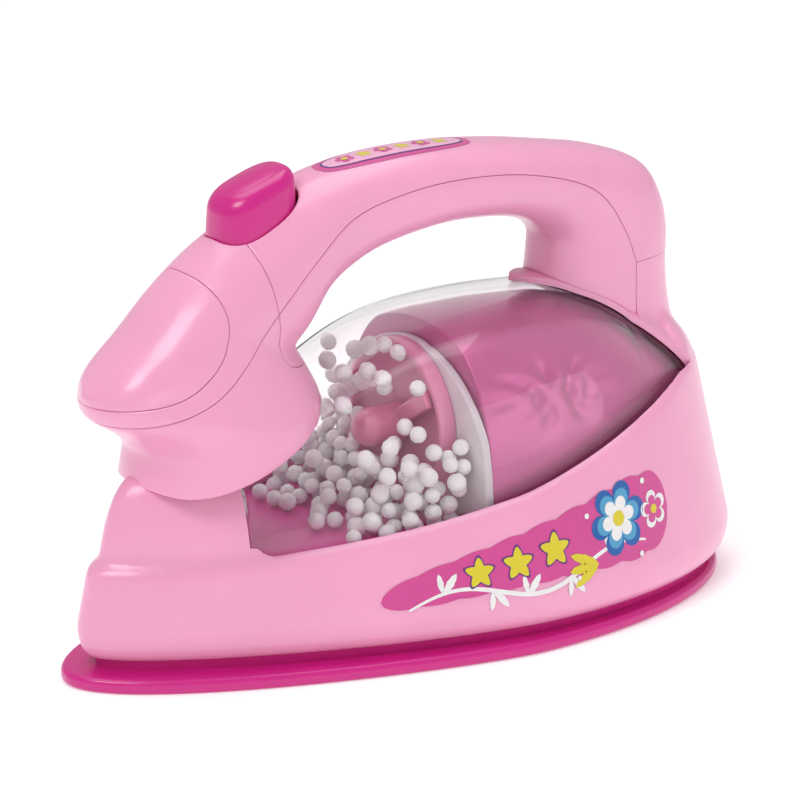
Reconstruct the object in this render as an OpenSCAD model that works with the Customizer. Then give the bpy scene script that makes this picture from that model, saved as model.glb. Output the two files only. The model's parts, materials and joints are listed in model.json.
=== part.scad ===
// Toy steam iron with a clear bead chamber, a motor-driven stirrer and a push button in the handle.
// The nose points to -X and the heel to +X. Lengths whose names end in _at are measured back from
// the nose tip of the sole, and heights, ending in _z, up from the surface that the sole stands on.

/* [Overall] */
// Length from the nose of the sole to the heel of the body
overall_len = 152.5; // [146:0.5:158]
// Height of the top of the handle
handle_top_z = 94.2; // [91:0.2:98]

/* [Sole plate] */
// Length of the sole plate
sole_len = 150; // [146:0.5:151]
// Widest width of the sole plate
sole_w = 74.5; // [70:0.5:80]
// Thickness of the sole plate
sole_t = 2.8; // [2.4:0.1:3.6]
// Radius of the rounded edge of the sole plate
sole_edge_r = 1.1; // [0.6:0.1:1.2]

/* [Body shell] */
// Widest width of the body shell
body_w = 73; // [70:0.5:78]
// Distance of the body's nose behind the nose of the sole
body_nose_at = 3; // [2:0.2:4]
// Open gap between the sole plate and the skirt
skirt_gap = 1.8; // [1.2:0.1:2.4]
// Wall thickness of the body shell
body_wall = 2; // [1.6:0.1:2.4]
// Height of the widest line of the skirt
belly_z = 11; // [9.5:0.25:13]
// Height of the rim at the nose
rim_front_z = 22.6; // [21.6:0.2:24]
// Height of the rim at its rear end
rim_rear_z = 45.5; // [44:0.25:47]
// Length of the body behind the window
heel_len = 16; // [14.5:0.5:17.5]
// Radius of the skirt's tucked lower edge
tuck_r = 3; // [1.5:0.1:3.6]
// Radius of the rim's outer edge
rim_r = 1.2; // [0.6:0.1:1.4]
// Length of the hood from its pointed tip to the rear end of the window
hood_len = 33.9; // [31:0.1:37]
// Thickness of the hood where it lies over the dome
hood_t = 1.6; // [1.2:0.1:2]

/* [Pedestal and neck] */
// Distance of the pedestal's rear edge behind the nose
pedestal_rear_at = 31.5; // [29:0.5:34]
// Width of the ledge that the pedestal leaves on the rim
pedestal_ledge = 0.9; // [0.6:0.1:1.4]
// Height of the pedestal's shoulder
pedestal_top_z = 39.5; // [38:0.25:41]
// Widest width of the neck shell
neck_w = 38; // [35:0.5:41]
// Wall thickness of the neck and head shells
head_wall = 1.8; // [1.4:0.1:2.2]

/* [Handle] */
// Width of the handle
handle_w = 21.5; // [20:0.5:23.5]
// Widest width of the head
head_w = 27; // [25:0.5:29]
// Wall thickness of the handle shells
handle_wall = 2; // [1.6:0.1:2.4]
// Gap left open at the parting lines
seam_gap = 0.3; // [0.2:0.05:0.4]

/* [Clear dome] */
// Wall thickness of the clear dome
dome_wall = 1.5; // [1.2:0.1:1.8]
// Height of the top of the clear dome
dome_top_z = 63.2; // [62:0.2:64]
// Half width of the flat band along the dome's top
crease_half_w = 13; // [11:0.5:14]
// Clearance between shells that seat in each other
seat_gap = 0.3; // [0.2:0.05:0.4]

/* [Bead chamber] */
// Distance of the stirrer's bulkhead behind the nose
bulkhead_at = 74.6; // [73:0.2:76]
// Radius of the bulkhead's arch
bulkhead_r = 16.7; // [15.8:0.1:17.4]
// Depth of the bulkhead from its rim to the partition
bulkhead_depth = 3.6; // [3:0.2:4.4]
// Wall thickness of the bulkhead
bulkhead_wall = 1.5; // [1.2:0.1:1.8]
// Thickness of the clear partition
partition_t = 1.8; // [1.4:0.1:2.2]
// Radius of the clear partition's arch
partition_r = 27.6; // [26.5:0.1:28]
// Height at which the partition's arch springs
partition_spring_z = 28; // [27:0.2:29]
// Thickness of the deck
deck_t = 1.6; // [1.2:0.1:2]
// Height of the deck's floor
deck_z = 22.8; // [22:0.1:23]
// Diameter of the largest foam bead
bead_d = 4; // [3.6:0.1:4.4]
// Number of beads dropped into the chamber
bead_count = 120; // [40:1:150]

/* [Stirrer and motor] */
// Height of the motor's axis
axis_z = 39; // [38.4:0.2:39.6]
// Diameter of the motor's shaft
shaft_d = 2; // [1.6:0.1:2.4]
// Clearance of the shaft in the hub, on the radius
shaft_fit = 0.02; // [0.01:0.01:0.05]
// Clearance of the shaft in the motor, on the radius
shaft_clear = 0.05; // [0.02:0.01:0.1]
// Diameter of the stirrer's hub
hub_d = 8; // [7:0.1:9]
// Length of the stirrer's hub
hub_len = 11; // [9:0.5:12]
// Reach of the stirrer's arm from the axis
arm_reach = 14.6; // [12:0.2:14.8]
// Width of the stirrer's arm
arm_w = 3.4; // [2.6:0.1:4.4]
// Thickness of the stirrer's arm
arm_t = 1.9; // [1.4:0.1:2.4]
// Angle of the resting arm above the level, on the near side
arm_angle = 33; // [0:1:60]
// Length of the motor's can
motor_len = 25; // [22:0.5:27]
// Diameter of the motor's can
motor_d = 20; // [18:0.5:22]
// Height over the motor's flats
motor_flat = 15; // [14:0.5:16]

/* [Button] */
// Length of the button along the handle
button_len = 16.8; // [15:0.2:18.4]
// Width of the button
button_w = 13.6; // [12:0.2:15]
// Height of the button over the head
button_h = 8.8; // [8:0.2:10.6]
// Travel of the button
button_travel = 3; // [2:0.25:3.5]
// Clearance around the button in its opening
button_clear = 0.35; // [0.25:0.05:0.45]

/* [Switch] */
// Height of the underside of the switch's base
switch_z = 66; // [65:0.25:68]
// Thickness of the switch's base
switch_t = 2; // [1.6:0.1:2.4]
// Thickness of the contact blades
switch_blade_t = 0.5; // [0.4:0.05:0.7]

/* [Screws] */
// Diameter of the screws' shanks
screw_d = 2.6; // [2.2:0.1:3]
// Diameter of the screws' heads
screw_head_d = 5; // [4.4:0.1:5.4]
// Depth from the sole's underside to the seat of a screw head
screw_sink = 1.3; // [1.1:0.1:1.5]
// Clearance of a screw in its post, on the diameter
screw_clear = 0.1; // [0.05:0.05:0.2]
// Diameter of the posts that the screws enter
post_d = 6.4; // [5.6:0.1:7]
// Height of the end of the holes in the posts
post_hole_z = 13; // [11:0.5:16]
// Height of the boss for the door's screw
door_boss_h = 8; // [7:0.5:10]

/* [Batteries] */
// Diameter of one battery
battery_d = 14.2; // [13.8:0.1:14.5]
// Length of one battery
battery_len = 49.5; // [48:0.5:50.5]
// Wall thickness of the battery box
box_wall = 1.4; // [1.2:0.1:1.8]

/* [Hidden] */

at_x = -overall_len/2;
plan_steps = 14;
overrun = overall_len/25;
skirt_z = sole_t + skirt_gap;
body_half = body_w/2;
window_rear_at = overall_len - heel_len;
hood_tip_at = window_rear_at - hood_len;

// A point on a cubic curve through four guide points, and a row of such points
function curve(p, t) = pow(1 - t, 3)*p[0] + 3*pow(1 - t, 2)*t*p[1] + 3*(1 - t)*t*t*p[2] + t*t*t*p[3];
function along(p, n, first = 0) = [for (i = [first:n]) curve(p, i/n)];
function signed_pow(v, e) = sign(v)*pow(abs(v), e);
function mix(a, b, t) = a + (b - a)*t;

// Value at x of a smooth line through a table of rows, each starting with its own x
function row_below(rows, x, i = 0) =
    i >= len(rows) - 2 || x < rows[i + 1][0] ? i : row_below(rows, x, i + 1);
function row_slope(rows, i) = let(a = max(i - 1, 0), b = min(i + 1, len(rows) - 1))
    (rows[b] - rows[a])/(rows[b][0] - rows[a][0]);
function smooth_row(rows, x) = let(
    i = row_below(rows, x),
    w = rows[i + 1][0] - rows[i][0],
    t = min(max((x - rows[i][0])/w, 0), 1),
    ease = t*t*(3 - 2*t))
    mix(rows[i], rows[i + 1], ease) + (t*t*t - 2*t*t + t)*w*row_slope(rows, i)
    + (t*t*t - t*t)*w*row_slope(rows, i + 1);

// A side view place from shares of the overall length and of the handle's height
function side_place(share) = [share[0]*overall_len, share[1]*handle_top_z];
function side_places(shares) = [for (s = shares) side_place(s)];

// Flat strips that close a ring whose points lie in level pairs. The pairs count from each side of the
// first point, or, for an open arc, from its two ends.
function closed_strips(n) = [for (i = [0:n/2 - 1]) i == 0 ? [0, 1, n - 1]
    : i == n/2 - 1 ? [i, i + 1, i + 2] : [i, i + 1, n - i - 1, n - i]];
function arc_strips(n) = [for (i = [0:floor((n - 1)/2) - 1]) i + 1 == n - 2 - i ? [i, i + 1, i + 2]
    : [i, i + 1, n - 2 - i, n - 1 - i]];

// A solid skinned over rings of equal counts of points that run counter-clockwise seen from the last
module skin(rings, arcs = false) {
    n = len(rings[0]);
    m = len(rings);
    sides = [for (j = [0:m - 2]) for (i = [0:n - 1]) each [
        [j*n + i, (j + 1)*n + i, (j + 1)*n + (i + 1)%n],
        [j*n + i, (j + 1)*n + (i + 1)%n, j*n + (i + 1)%n]]];
    cap = arcs ? arc_strips(n) : closed_strips(n);
    last_cap = [for (f = cap) [for (k = [len(f) - 1:-1:0]) (m - 1)*n + f[k]]];
    polyhedron(points = [for (r = rings) each r], faces = concat(cap, sides, last_cap));
}

// The same, as a chain of convex links, for a row of rings that bends tightly
module chain(rings) {
    for (k = [0:len(rings) - 2]) hull() skin([rings[k], rings[k + 1]]);
}

// A slab across the whole width, cut to an outline in the side view
module side_slab(outline, inset = 0) {
    rotate([90, 0, 0]) linear_extrude(height = 2*sole_w, center = true)
        offset(delta = -inset) polygon(outline);
}

// Plan outlines

// One side from the nose to the tail, as [distance behind the nose, half width]
function half_plan(nose, tail, half, wide, shares) = concat(
    along([[nose, 0], [nose, shares[0]*half], [mix(wide, nose, shares[1]), half], [wide, half]],
        plan_steps),
    along([[wide, half], [mix(wide, tail, shares[2]), half], [tail, shares[3]*half], [tail, 0]],
        plan_steps, 1));

// A closed ring, from the nose along the near side and back along the far side
function ring_of(side) = concat(
    [for (p = side) [p[0], -p[1]]],
    [for (i = [len(side) - 2:-1:1]) side[i]]);
function lift(ring, z) = [for (p = ring) [p[0], p[1], z]];

sole_plan_shares = [0.5, 0.18, 0.58, 0.56];
sole_wide_share = 0.57;
function sole_plan(inset) = ring_of(half_plan(inset, sole_len - inset, sole_w/2 - inset,
    sole_len*sole_wide_share, sole_plan_shares));

body_plan_shares = [0.3, 0.3, 0.55, 0.6];
body_wide_share = 0.6;
skirt_draft_share = 0.22;
rim_power = 2.2;
unit_inset = body_half/4;
function body_side(inset) = half_plan(body_nose_at + inset, overall_len - inset, body_half - inset,
    overall_len*body_wide_share, body_plan_shares);
body_plan = ring_of(body_side(0));
body_plan_in = ring_of(body_side(unit_inset));
plan_last = len(body_plan) - 1;
function inset_at(i, d) = mix(body_plan[i], body_plan_in[i], d/unit_inset);
function drafted(z) = skirt_draft_share*max(z - belly_z, 0);
function rim_z(x) = rim_front_z + (rim_rear_z - rim_front_z)*pow(min(x/window_rear_at, 1), rim_power);

// Ring of the body at one height, drawn in by its draft and by an inset
function body_ring(z, inset) = [for (i = [0:plan_last]) let(p = inset_at(i, drafted(z) + inset))
    [p[0], p[1], z]];
// Ring at a drop below the rim
function rim_ring(drop, inset) = [for (i = [0:plan_last]) let(
    z = rim_z(body_plan[i][0]) - drop,
    p = inset_at(i, drafted(z) + inset)) [p[0], p[1], z]];

// Half width of the body just under the rim at a distance behind the nose
rim_side = [for (p = body_side(0)) p];
function rim_half(x) = let(i = row_below(rim_side, x), a = rim_side[i], b = rim_side[i + 1])
    mix(a[1], b[1], min(max((x - a[0])/(b[0] - a[0]), 0), 1)) - drafted(rim_z(x));

// Places of the batteries, of their box and of the door below them

cell_gap = battery_d/24;
contact_t = battery_d/28;
contact_room = battery_d/9;
cell_len = battery_len + 2*contact_room;
cell_w = 2*battery_d + 3*cell_gap;
battery_mid_share = 0.651;
cell_front_at = battery_mid_share*min(sole_len, overall_len) - cell_len/2;
door_ledge = 1.4*box_wall;
door_tongue = 6*box_wall;
door_t = sole_t*0.62;
door_lift = sole_t*0.08;
door_front_at = cell_front_at - door_ledge;
door_len = cell_len + door_ledge + door_tongue;
door_w = cell_w + 2*door_ledge;
door_screw_at = cell_front_at + cell_len + box_wall + post_d/2 + seat_gap;
battery_z = door_lift + door_t + cell_gap + battery_d/2;
box_roof_z = battery_z + battery_d/2 + cell_gap;

// Sole plate

// Places of the screws that hold the sole: one near the nose and two on each side of the door
front_screw = [sole_wide_share*sole_len/4, 0];
screw_side = door_w/2 + screw_head_d/2 + box_wall + 2*seat_gap;
screw_places = [for (x = [cell_front_at + post_d, cell_front_at + cell_len - 2*post_d])
    for (side = [-1, 1]) [x, side*screw_side]];
lip_inset = body_wall + tuck_r/2 + seat_gap;

module at_screws(places) {
    for (p = places) translate([p[0], p[1], 0]) children();
}

module sole_slab() {
    bend = [0, 30, 60, 90];
    low = [for (a = bend) lift(sole_plan(sole_edge_r*(1 - sin(a))), sole_edge_r*(1 - cos(a)))];
    high = [for (i = [3:-1:0]) lift(sole_plan(sole_edge_r*(1 - sin(bend[i]))),
        sole_t - sole_edge_r*(1 - cos(bend[i])))];
    skin(concat(low, high));
}

// Upright lip of the sole inside the skirt
module sole_lip() {
    lip_top = mix(skirt_z, belly_z, 0.5);
    difference() {
        skin([body_ring(sole_t/2, lip_inset), body_ring(lip_top, lip_inset)]);
        skin([body_ring(0, lip_inset + box_wall), body_ring(2*lip_top, lip_inset + box_wall)]);
    }
}

module sole_plate() {
    color("mediumvioletred") translate([at_x, 0, 0]) difference() {
        union() {
            sole_slab();
            sole_lip();
            translate([door_screw_at, 0, sole_t/2]) cylinder(d = post_d, h = door_boss_h, $fn = 40);
        }
        translate([door_front_at - seat_gap, -door_w/2 - seat_gap, -sole_t])
            cube([door_len + 2*seat_gap, door_w + 2*seat_gap, sole_t + door_lift + door_t]);
        translate([cell_front_at, -cell_w/2, 0]) cube([cell_len, cell_w, 2*sole_t]);
        translate([door_screw_at, 0, 0]) cylinder(d = screw_d + screw_clear, h = door_boss_h, $fn = 32);
        at_screws(concat([front_screw], screw_places)) {
            cylinder(d = screw_head_d + 2*seat_gap, h = screw_sink, $fn = 40);
            cylinder(d = screw_d + 2*seat_gap, h = 2*sole_t, $fn = 32);
        }
    }
}

// Clear dome

dome_front_at = pedestal_rear_at + seat_gap;
dome_rear_at = window_rear_at + body_wall + hood_t;
// Height of the dome's ridge along its length, as shares of the length and of its full height
dome_ridge_shares = [[0.2, 0.63], [0.25, 0.68], [0.328, 0.78], [0.39, 0.868], [0.46, 0.943],
    [0.53, 0.985], [0.60, 1], [0.675, 1], [0.74, 0.988], [0.80, 0.945], [0.855, 0.862],
    [0.90, 0.76], [0.921, 0.70]];
function ridge_z(x) = smooth_row(dome_ridge_shares, x/overall_len)[1]*dome_top_z;
crease_mid_share = 0.49;
crease_reach_share = 0.33;
function crease_w(x) = crease_half_w*sqrt(max(1 - pow((x/overall_len - crease_mid_share)
    /crease_reach_share, 2), 0.05));
crease_drop_share = 0.06;
bulge_shares = [0.98, 0.62, 0.4];
side_steps = 7;
foot_depth_share = 1.55;
band_steps = 3;

// Half of the dome's section at x, from its foot in the rim to the ridge
function dome_half(x, inset) = let(
    foot_z = max(rim_z(x) - foot_depth_share*body_wall, deck_z + seat_gap),
    half = max(rim_half(x) - body_wall - seat_gap - inset, body_wall),
    top = ridge_z(x) - inset,
    rise = top - foot_z,
    edge = min(crease_w(x), half/2),
    edge_z = top - crease_drop_share*rise)
    concat(
        along([[half, foot_z], [half*bulge_shares[0], foot_z + rise*bulge_shares[1]],
            [mix(edge, half, bulge_shares[2]), edge_z - rise*crease_drop_share], [edge, edge_z]],
            side_steps),
        along([[edge, edge_z], [edge*2/3, edge_z + (top - edge_z)*2/3], [edge/3, top], [0, top]],
            band_steps, 1));
function dome_arc(x, inset) = let(h = dome_half(x, inset)) concat(
    [for (p = h) [x, p[0], p[1]]],
    [for (i = [len(h) - 2:-1:0]) [x, -h[i][0], h[i][1]]]);
function backwards(list) = [for (i = [len(list) - 1:-1:0]) list[i]];
dome_stations = [for (t = [0:1/18:1]) mix(dome_front_at, dome_rear_at, t)];

module dome_solid(inset) {
    skin([for (x = dome_stations) dome_arc(x, inset)], true);
}

module clear_dome() {
    color("lavenderblush", 0.35) translate([at_x, 0, 0])
        skin([for (x = dome_stations) concat(dome_arc(x, 0), backwards(dome_arc(x, dome_wall)))], true);
}

// Rear leg and hood of the body

leg_exponent = 0.92;
ring_points = 28;
// Level rings of the leg: height and front as shares, and the rear's distance in front of the heel and
// the half width as shares of the handle's width and half width
leg_ring_shares = [[0.43, 0.76, 0.411, 1.9], [0.47, 0.75, 0.447, 1.8], [0.51, 0.74, 0.497, 1.62],
    [0.55, 0.73, 0.539, 1.4], [0.59, 0.72, 0.575, 1.22], [0.64, 0.708, 0.603, 1.08],
    [0.70, 0.712, 0.617, 1.02], [0.76, 0.715, 0.617, 1]];
function leg_ring(row, inset) = let(
    z = row[0]*handle_top_z,
    front = row[1]*overall_len + inset,
    rear = overall_len - row[2]*handle_w - inset,
    half = row[3]*handle_w/2 - inset,
    mid = (front + rear)/2,
    reach = (rear - front)/2)
    [for (i = [0:ring_points - 1]) let(a = -180 + 360*i/ring_points)
        [mid + reach*signed_pow(cos(a), leg_exponent), half*signed_pow(sin(a), leg_exponent), z]];

module leg_solid(inset) {
    skin([for (row = leg_ring_shares) leg_ring(row, inset)]);
}

// The same drawn in and run on past both ends
module leg_hollow(inset) {
    last = len(leg_ring_shares) - 1;
    low = leg_ring(leg_ring_shares[0], inset);
    high = leg_ring(leg_ring_shares[last], inset);
    skin(concat([[for (p = low) p - [0, 0, overrun]]], [for (row = leg_ring_shares) leg_ring(row, inset)],
        [[for (p = high) p + [0, 0, overrun]]]));
}

hood_spread_share = 0.55;
module hood_wedge() {
    reach = dome_rear_at - hood_tip_at;
    linear_extrude(height = handle_top_z) polygon([[hood_tip_at, 0],
        [hood_tip_at + reach, -reach*hood_spread_share], [hood_tip_at + 2*reach, 0],
        [hood_tip_at + reach, reach*hood_spread_share]]);
}

module skirt_solid() {
    skin([body_ring(skirt_z, tuck_r), body_ring(mix(skirt_z, belly_z, 0.18), tuck_r*0.45),
        body_ring(mix(skirt_z, belly_z, 0.5), tuck_r*0.12), body_ring(belly_z, 0),
        rim_ring(rim_r, 0), rim_ring(rim_r*0.3, rim_r*0.3), rim_ring(0, rim_r)]);
}

module skirt_hollow() {
    skin([body_ring(skirt_z - overrun, body_wall + tuck_r/2), body_ring(belly_z, body_wall),
        rim_ring(body_wall, body_wall), rim_ring(-overrun, body_wall)]);
}

// Rings of the pedestal: share of its height over the rim, and inset as a share of the neck's width
pedestal_ring_shares = [[0, 0], [0.55, 0.008], [0.8, 0.037], [0.94, 0.085], [1, 0.147]];
function pedestal_rings(inset, drop) = [for (r = pedestal_ring_shares)
    body_ring(mix(rim_front_z, pedestal_top_z, r[0]) - (r[0] == 0 ? 0 : drop),
        rim_r + pedestal_ledge + inset + r[1]*neck_w)];
module pedestal_solid(inset, drop) {
    skin(pedestal_rings(inset, drop));
}

module pedestal() {
    difference() {
        union() {
            pedestal_solid(0, 0);
            skin([body_ring(rim_front_z - body_wall, body_wall/2), body_ring(rim_front_z, body_wall/2)]);
            translate([front_screw[0], front_screw[1], sole_t])
                cylinder(d = post_d, h = rim_front_z - body_wall/2 - sole_t, $fn = 40);
        }
        pedestal_solid(body_wall, body_wall);
        translate([front_screw[0], front_screw[1], 0])
            cylinder(d = screw_d + screw_clear, h = post_hole_z, $fn = 32);
        translate([pedestal_rear_at, -sole_w, 0]) cube([overall_len, 2*sole_w, handle_top_z]);
    }
}

leg_split_share = 0.827;
leg_top_share = 0.70;
// Line between the handle's shells and the leg, and the outline of what lies above it
handle_foot_shares = [[0.60, 0.6], [leg_split_share, 0.6], [leg_split_share, leg_top_share],
    [1.1, leg_top_share + 0.015]];
function handle_foot() = side_places(concat(handle_foot_shares, [[1.1, 1.2], [0.60, 1.2]]));

module body_shell() {
    color("lightpink") translate([at_x, 0, 0]) {
        difference() {
            union() {
                difference() {
                    skirt_solid();
                    skirt_hollow();
                }
                difference() {
                    leg_solid(0);
                    leg_hollow(handle_wall);
                    side_slab(handle_foot());
                }
                intersection() {
                    hood_wedge();
                    dome_solid(-hood_t);
                }
            }
            dome_solid(-seat_gap);
        }
        pedestal();
    }
}

// Neck, head and handle: the places where each section starts at its top and ends at its bottom
handle_top_shares = [[0.043, 0.615], [0.066, 0.653], [0.113, 0.728], [0.168, 0.815], [0.214, 0.871],
    [0.264, 0.913], [0.315, 0.948], [0.367, 0.978], [0.42, 0.994], [0.47, 1], [0.55, 1], [0.64, 0.988],
    [0.725, 0.966], [0.806, 0.939], [0.87, 0.897], [0.9, 0.828], [0.911, 0.757], [0.913, 0.69]];
handle_low_shares = [[0.038, 0.576], [0.048, 0.543], [0.112, 0.49], [0.184, 0.49], [0.249, 0.535],
    [0.3, 0.605], [0.331, 0.658], [0.36, 0.73], [0.394, 0.772], [0.435, 0.803], [0.53, 0.832],
    [0.616, 0.831], [0.672, 0.814], [0.705, 0.786], [0.72, 0.752], [0.721, 0.72], [0.717, 0.695],
    [0.708, 0.674]];
head_width_shares = [0.24, 0.6, 0.87, 0.985, 0.985, 0.93];
handle_width_shares = [1.08, 1.03, 1, 1, 1, 1, 1, 1, 1, 1.01, 1.02, 1.05];
function section_half(k) = k < len(head_width_shares) ? head_width_shares[k]*head_w/2
    : handle_width_shares[k - len(head_width_shares)]*handle_w/2;
head_exponent = 0.96;
handle_exponent = 0.86;
function section_exponent(k) = k < len(head_width_shares) ? head_exponent : handle_exponent;

function section_ring(k, inset) = let(
    top = side_place(handle_top_shares[k]),
    low = side_place(handle_low_shares[k]),
    mid = (top + low)/2,
    arm = (top - low)/2,
    reach = arm*(1 - inset/norm(arm)),
    half = section_half(k) - inset)
    [for (i = [0:ring_points - 1]) let(
        a = -360*i/ring_points,
        c = signed_pow(cos(a), section_exponent(k)),
        s = signed_pow(sin(a), section_exponent(k)))
        [mid[0] + reach[0]*c, half*s, mid[1] + reach[1]*c]];
section_last = len(handle_top_shares) - 1;

module handle_solid(inset) {
    first = inset > 0 ? 1 : 0;
    chain([for (k = [first:section_last]) section_ring(k, inset)]);
}

// Level rings of the neck: height, front and rear as shares, half width as a share of the neck's
neck_ring_shares = [[0.38, 0.096, 0.262, 0.8], [0.42, 0.102, 0.31, 0.92], [0.465, 0.105, 0.345, 0.985],
    [0.51, 0.076, 0.358, 1], [0.55, 0.042, 0.357, 0.96], [0.59, 0.038, 0.345, 0.89],
    [0.635, 0.07, 0.328, 0.81], [0.68, 0.1, 0.312, 0.74], [0.72, 0.15, 0.298, 0.68]];
function neck_ring(row, inset) = let(
    z = row[0]*handle_top_z,
    front = row[1]*overall_len + inset,
    rear = row[2]*overall_len - inset,
    half = row[3]*neck_w/2 - inset)
    [for (i = [0:ring_points - 1]) let(a = -180 + 360*i/ring_points)
        [(front + rear)/2 + (rear - front)/2*cos(a), half*sin(a), z]];

module neck_solid(inset) {
    chain([for (row = neck_ring_shares) neck_ring(row, inset)]);
}

// Room over the rim for the pedestal's foot
module neck_floor_cut() {
    translate([0, -sole_w, 0]) cube([overall_len, 2*sole_w, rim_front_z]);
}

// Parting lines in the side view
head_line_shares = [[-0.1, 0.53], [0.075, 0.55], [0.118, 0.569], [0.164, 0.6], [0.21, 0.653],
    [0.264, 0.738]];
front_seam_shares = [[0.264, 0.738], [0.257, 0.796], [0.241, 0.89], [0.241, 1.2]];
neck_seam_shares = [[0.264, 0.738], [0.285, 0.623], [0.345, 0.6], [0.50, 0.6]];
visor_line_shares = [[-0.1, 0.573], [0.03, 0.577], [0.134, 0.614], [0.18, 0.674], [0.193, 0.74],
    [0.18, 0.807], [0.159, 0.844], [0.157, 1.2]];
parting_line_shares = [[0.264, 0.738], [0.33, 0.832], [0.384, 0.899], [0.482, 0.937], [0.577, 0.942],
    [0.666, 0.925], [0.756, 0.876], [0.81, 0.769], [0.827, 0.70]];
neck_low_shares = [[-0.1, 0.405], [0.09, 0.403], [0.125, 0.389], [0.165, 0.396], [0.206, 0.416],
    [0.262, 0.456], [0.324, 0.502], [0.5, 0.56]];

function head_region() = side_places(concat(head_line_shares, front_seam_shares, [[-0.1, 1.2]]));
function visor_region() = side_places(concat(visor_line_shares, [[-0.1, 1.2]]));
function handle_region() = side_places(concat(backwards(front_seam_shares), [neck_seam_shares[1],
    neck_seam_shares[2]], handle_foot_shares, [[1.1, 1.2]]));
function cover_region() = side_places(concat(parting_line_shares, [[1.1, leg_top_share + 0.015],
    [1.1, 1.2]], backwards(front_seam_shares)));
function neck_region() = side_places(concat(neck_low_shares, backwards(neck_seam_shares),
    backwards(head_line_shares)));

module neck_shell() {
    color("lightpink") translate([at_x, 0, 0]) difference() {
        intersection() {
            union() {
                neck_solid(0);
                handle_solid(0);
            }
            side_slab(neck_region(), seam_gap/2);
        }
        neck_solid(head_wall);
        handle_solid(head_wall);
        pedestal_solid(-seat_gap, -seat_gap);
        dome_solid(-seat_gap);
        neck_floor_cut();
    }
}

module head_cover() {
    color("lightpink") translate([at_x, 0, 0]) difference() {
        intersection() {
            handle_solid(0);
            side_slab(head_region(), seam_gap/2);
        }
        handle_solid(head_wall);
        side_slab(visor_region(), -seam_gap/2);
        button_opening();
    }
}

module beak_cover() {
    color("lightpink") translate([at_x, 0, 0]) difference() {
        intersection() {
            handle_solid(0);
            side_slab(visor_region(), seam_gap/2);
        }
        handle_solid(head_wall);
    }
}

module handle_cover() {
    color("lightpink") translate([at_x, 0, 0]) difference() {
        intersection() {
            handle_solid(0);
            side_slab(cover_region(), seam_gap/2);
        }
        handle_solid(handle_wall);
        button_opening();
    }
}

module handle_grip() {
    color("pink") translate([at_x, 0, 0]) difference() {
        intersection() {
            handle_solid(0);
            side_slab(handle_region(), seam_gap/2);
        }
        handle_solid(handle_wall);
        side_slab(cover_region(), -seam_gap/2);
        dome_solid(-hood_t - seat_gap);
    }
}

// Button

button_at_share = 0.277;
button_seat_share = 0.897;
button_slope = 20;
button_exponent = 0.72;
button_sink = button_travel + 2*head_wall;
function button_ring(h, grow) = [for (i = [0:ring_points - 1]) let(
    a = -180 + 360*i/ring_points,
    x = (button_len/2 + grow)*signed_pow(cos(a), button_exponent),
    y = (button_w/2 + grow)*signed_pow(sin(a), button_exponent))
    [button_at_share*overall_len + x, y, button_seat_share*handle_top_z + h + x*tan(button_slope)]];
// Rings of the cap: height over the head and inset, both as shares of the button's height
button_ring_shares = [[0.55, 0], [0.77, 0.03], [0.9, 0.1], [0.97, 0.22], [1, 0.4]];

module button_opening() {
    skin([button_ring(-3*button_h, button_clear), button_ring(2*button_h, button_clear)]);
}

button_flange = button_clear + handle_wall/2;
spring_seat_z = button_seat_share*handle_top_z + button_h/2 - button_travel;
spring_foot_z = switch_z + switch_t;
spring_h = spring_seat_z - spring_foot_z;
spring_mean_d = button_w*0.55;
spring_wire_d = button_w/18;
spring_turns = 5;
spring_well_d = spring_mean_d + 2*spring_wire_d + 2*seat_gap;
stem_d = spring_mean_d/2;

module on_button_axis(z) {
    translate([at_x + button_at_share*overall_len, 0, z]) children();
}

module push_button() {
    color("mediumvioletred") difference() {
        translate([at_x, 0, 0]) {
            skin(concat([button_ring(-button_sink, 0)],
                [for (r = button_ring_shares) button_ring(r[0]*button_h, -r[1]*button_h)]));
            skin([button_ring(-button_sink, button_flange),
                button_ring(handle_wall/2 - button_sink, button_flange)]);
        }
        on_button_axis(0) cylinder(d = spring_well_d, h = spring_seat_z, $fn = 48);
    }
    color("mediumvioletred") on_button_axis(spring_seat_z - stem_h)
        cylinder(d = stem_d, h = stem_h + spring_wire_d, $fn = 40);
}

// A coil wound about the vertical through its start, as rings of wire along a helix
coil_points = 8;
coil_steps = 14;
module coil(h, mean_d, wire_d, turns) {
    rise = h - wire_d;
    skin([for (k = [0:turns*coil_steps]) let(
        a = 360*k/coil_steps,
        z = wire_d/2 + rise*k/(turns*coil_steps))
        [for (i = [0:coil_points - 1]) let(
            b = -360*i/coil_points,
            r = mean_d/2 + wire_d/2*cos(b))
            [r*cos(a), r*sin(a), z + wire_d/2*sin(b)]]]);
}

module button_spring() {
    color("silver") on_button_axis(spring_foot_z) coil(spring_h, spring_mean_d, spring_wire_d, spring_turns);
}

// Switch

switch_len = button_len*0.7;
switch_w = head_w - 7*head_wall;
stem_h = spring_h - button_travel - switch_blade_t - seat_gap;

module switch_base() {
    color("white") translate([at_x + button_at_share*overall_len - switch_len/2, -switch_w/2, switch_z])
        cube([switch_len, switch_w, switch_t]);
}

// Contact blades lying on the base inside the spring
module switch_contacts() {
    blade_w = stem_d/2 - switch_blade_t;
    color("gold") on_button_axis(spring_foot_z) for (side = [-1, 1])
        translate([-stem_d/2, side*stem_d/4 - blade_w/2, 0]) cube([stem_d, blade_w, switch_blade_t]);
}

// Chamber

partition_at = bulkhead_at + bulkhead_depth;

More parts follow.
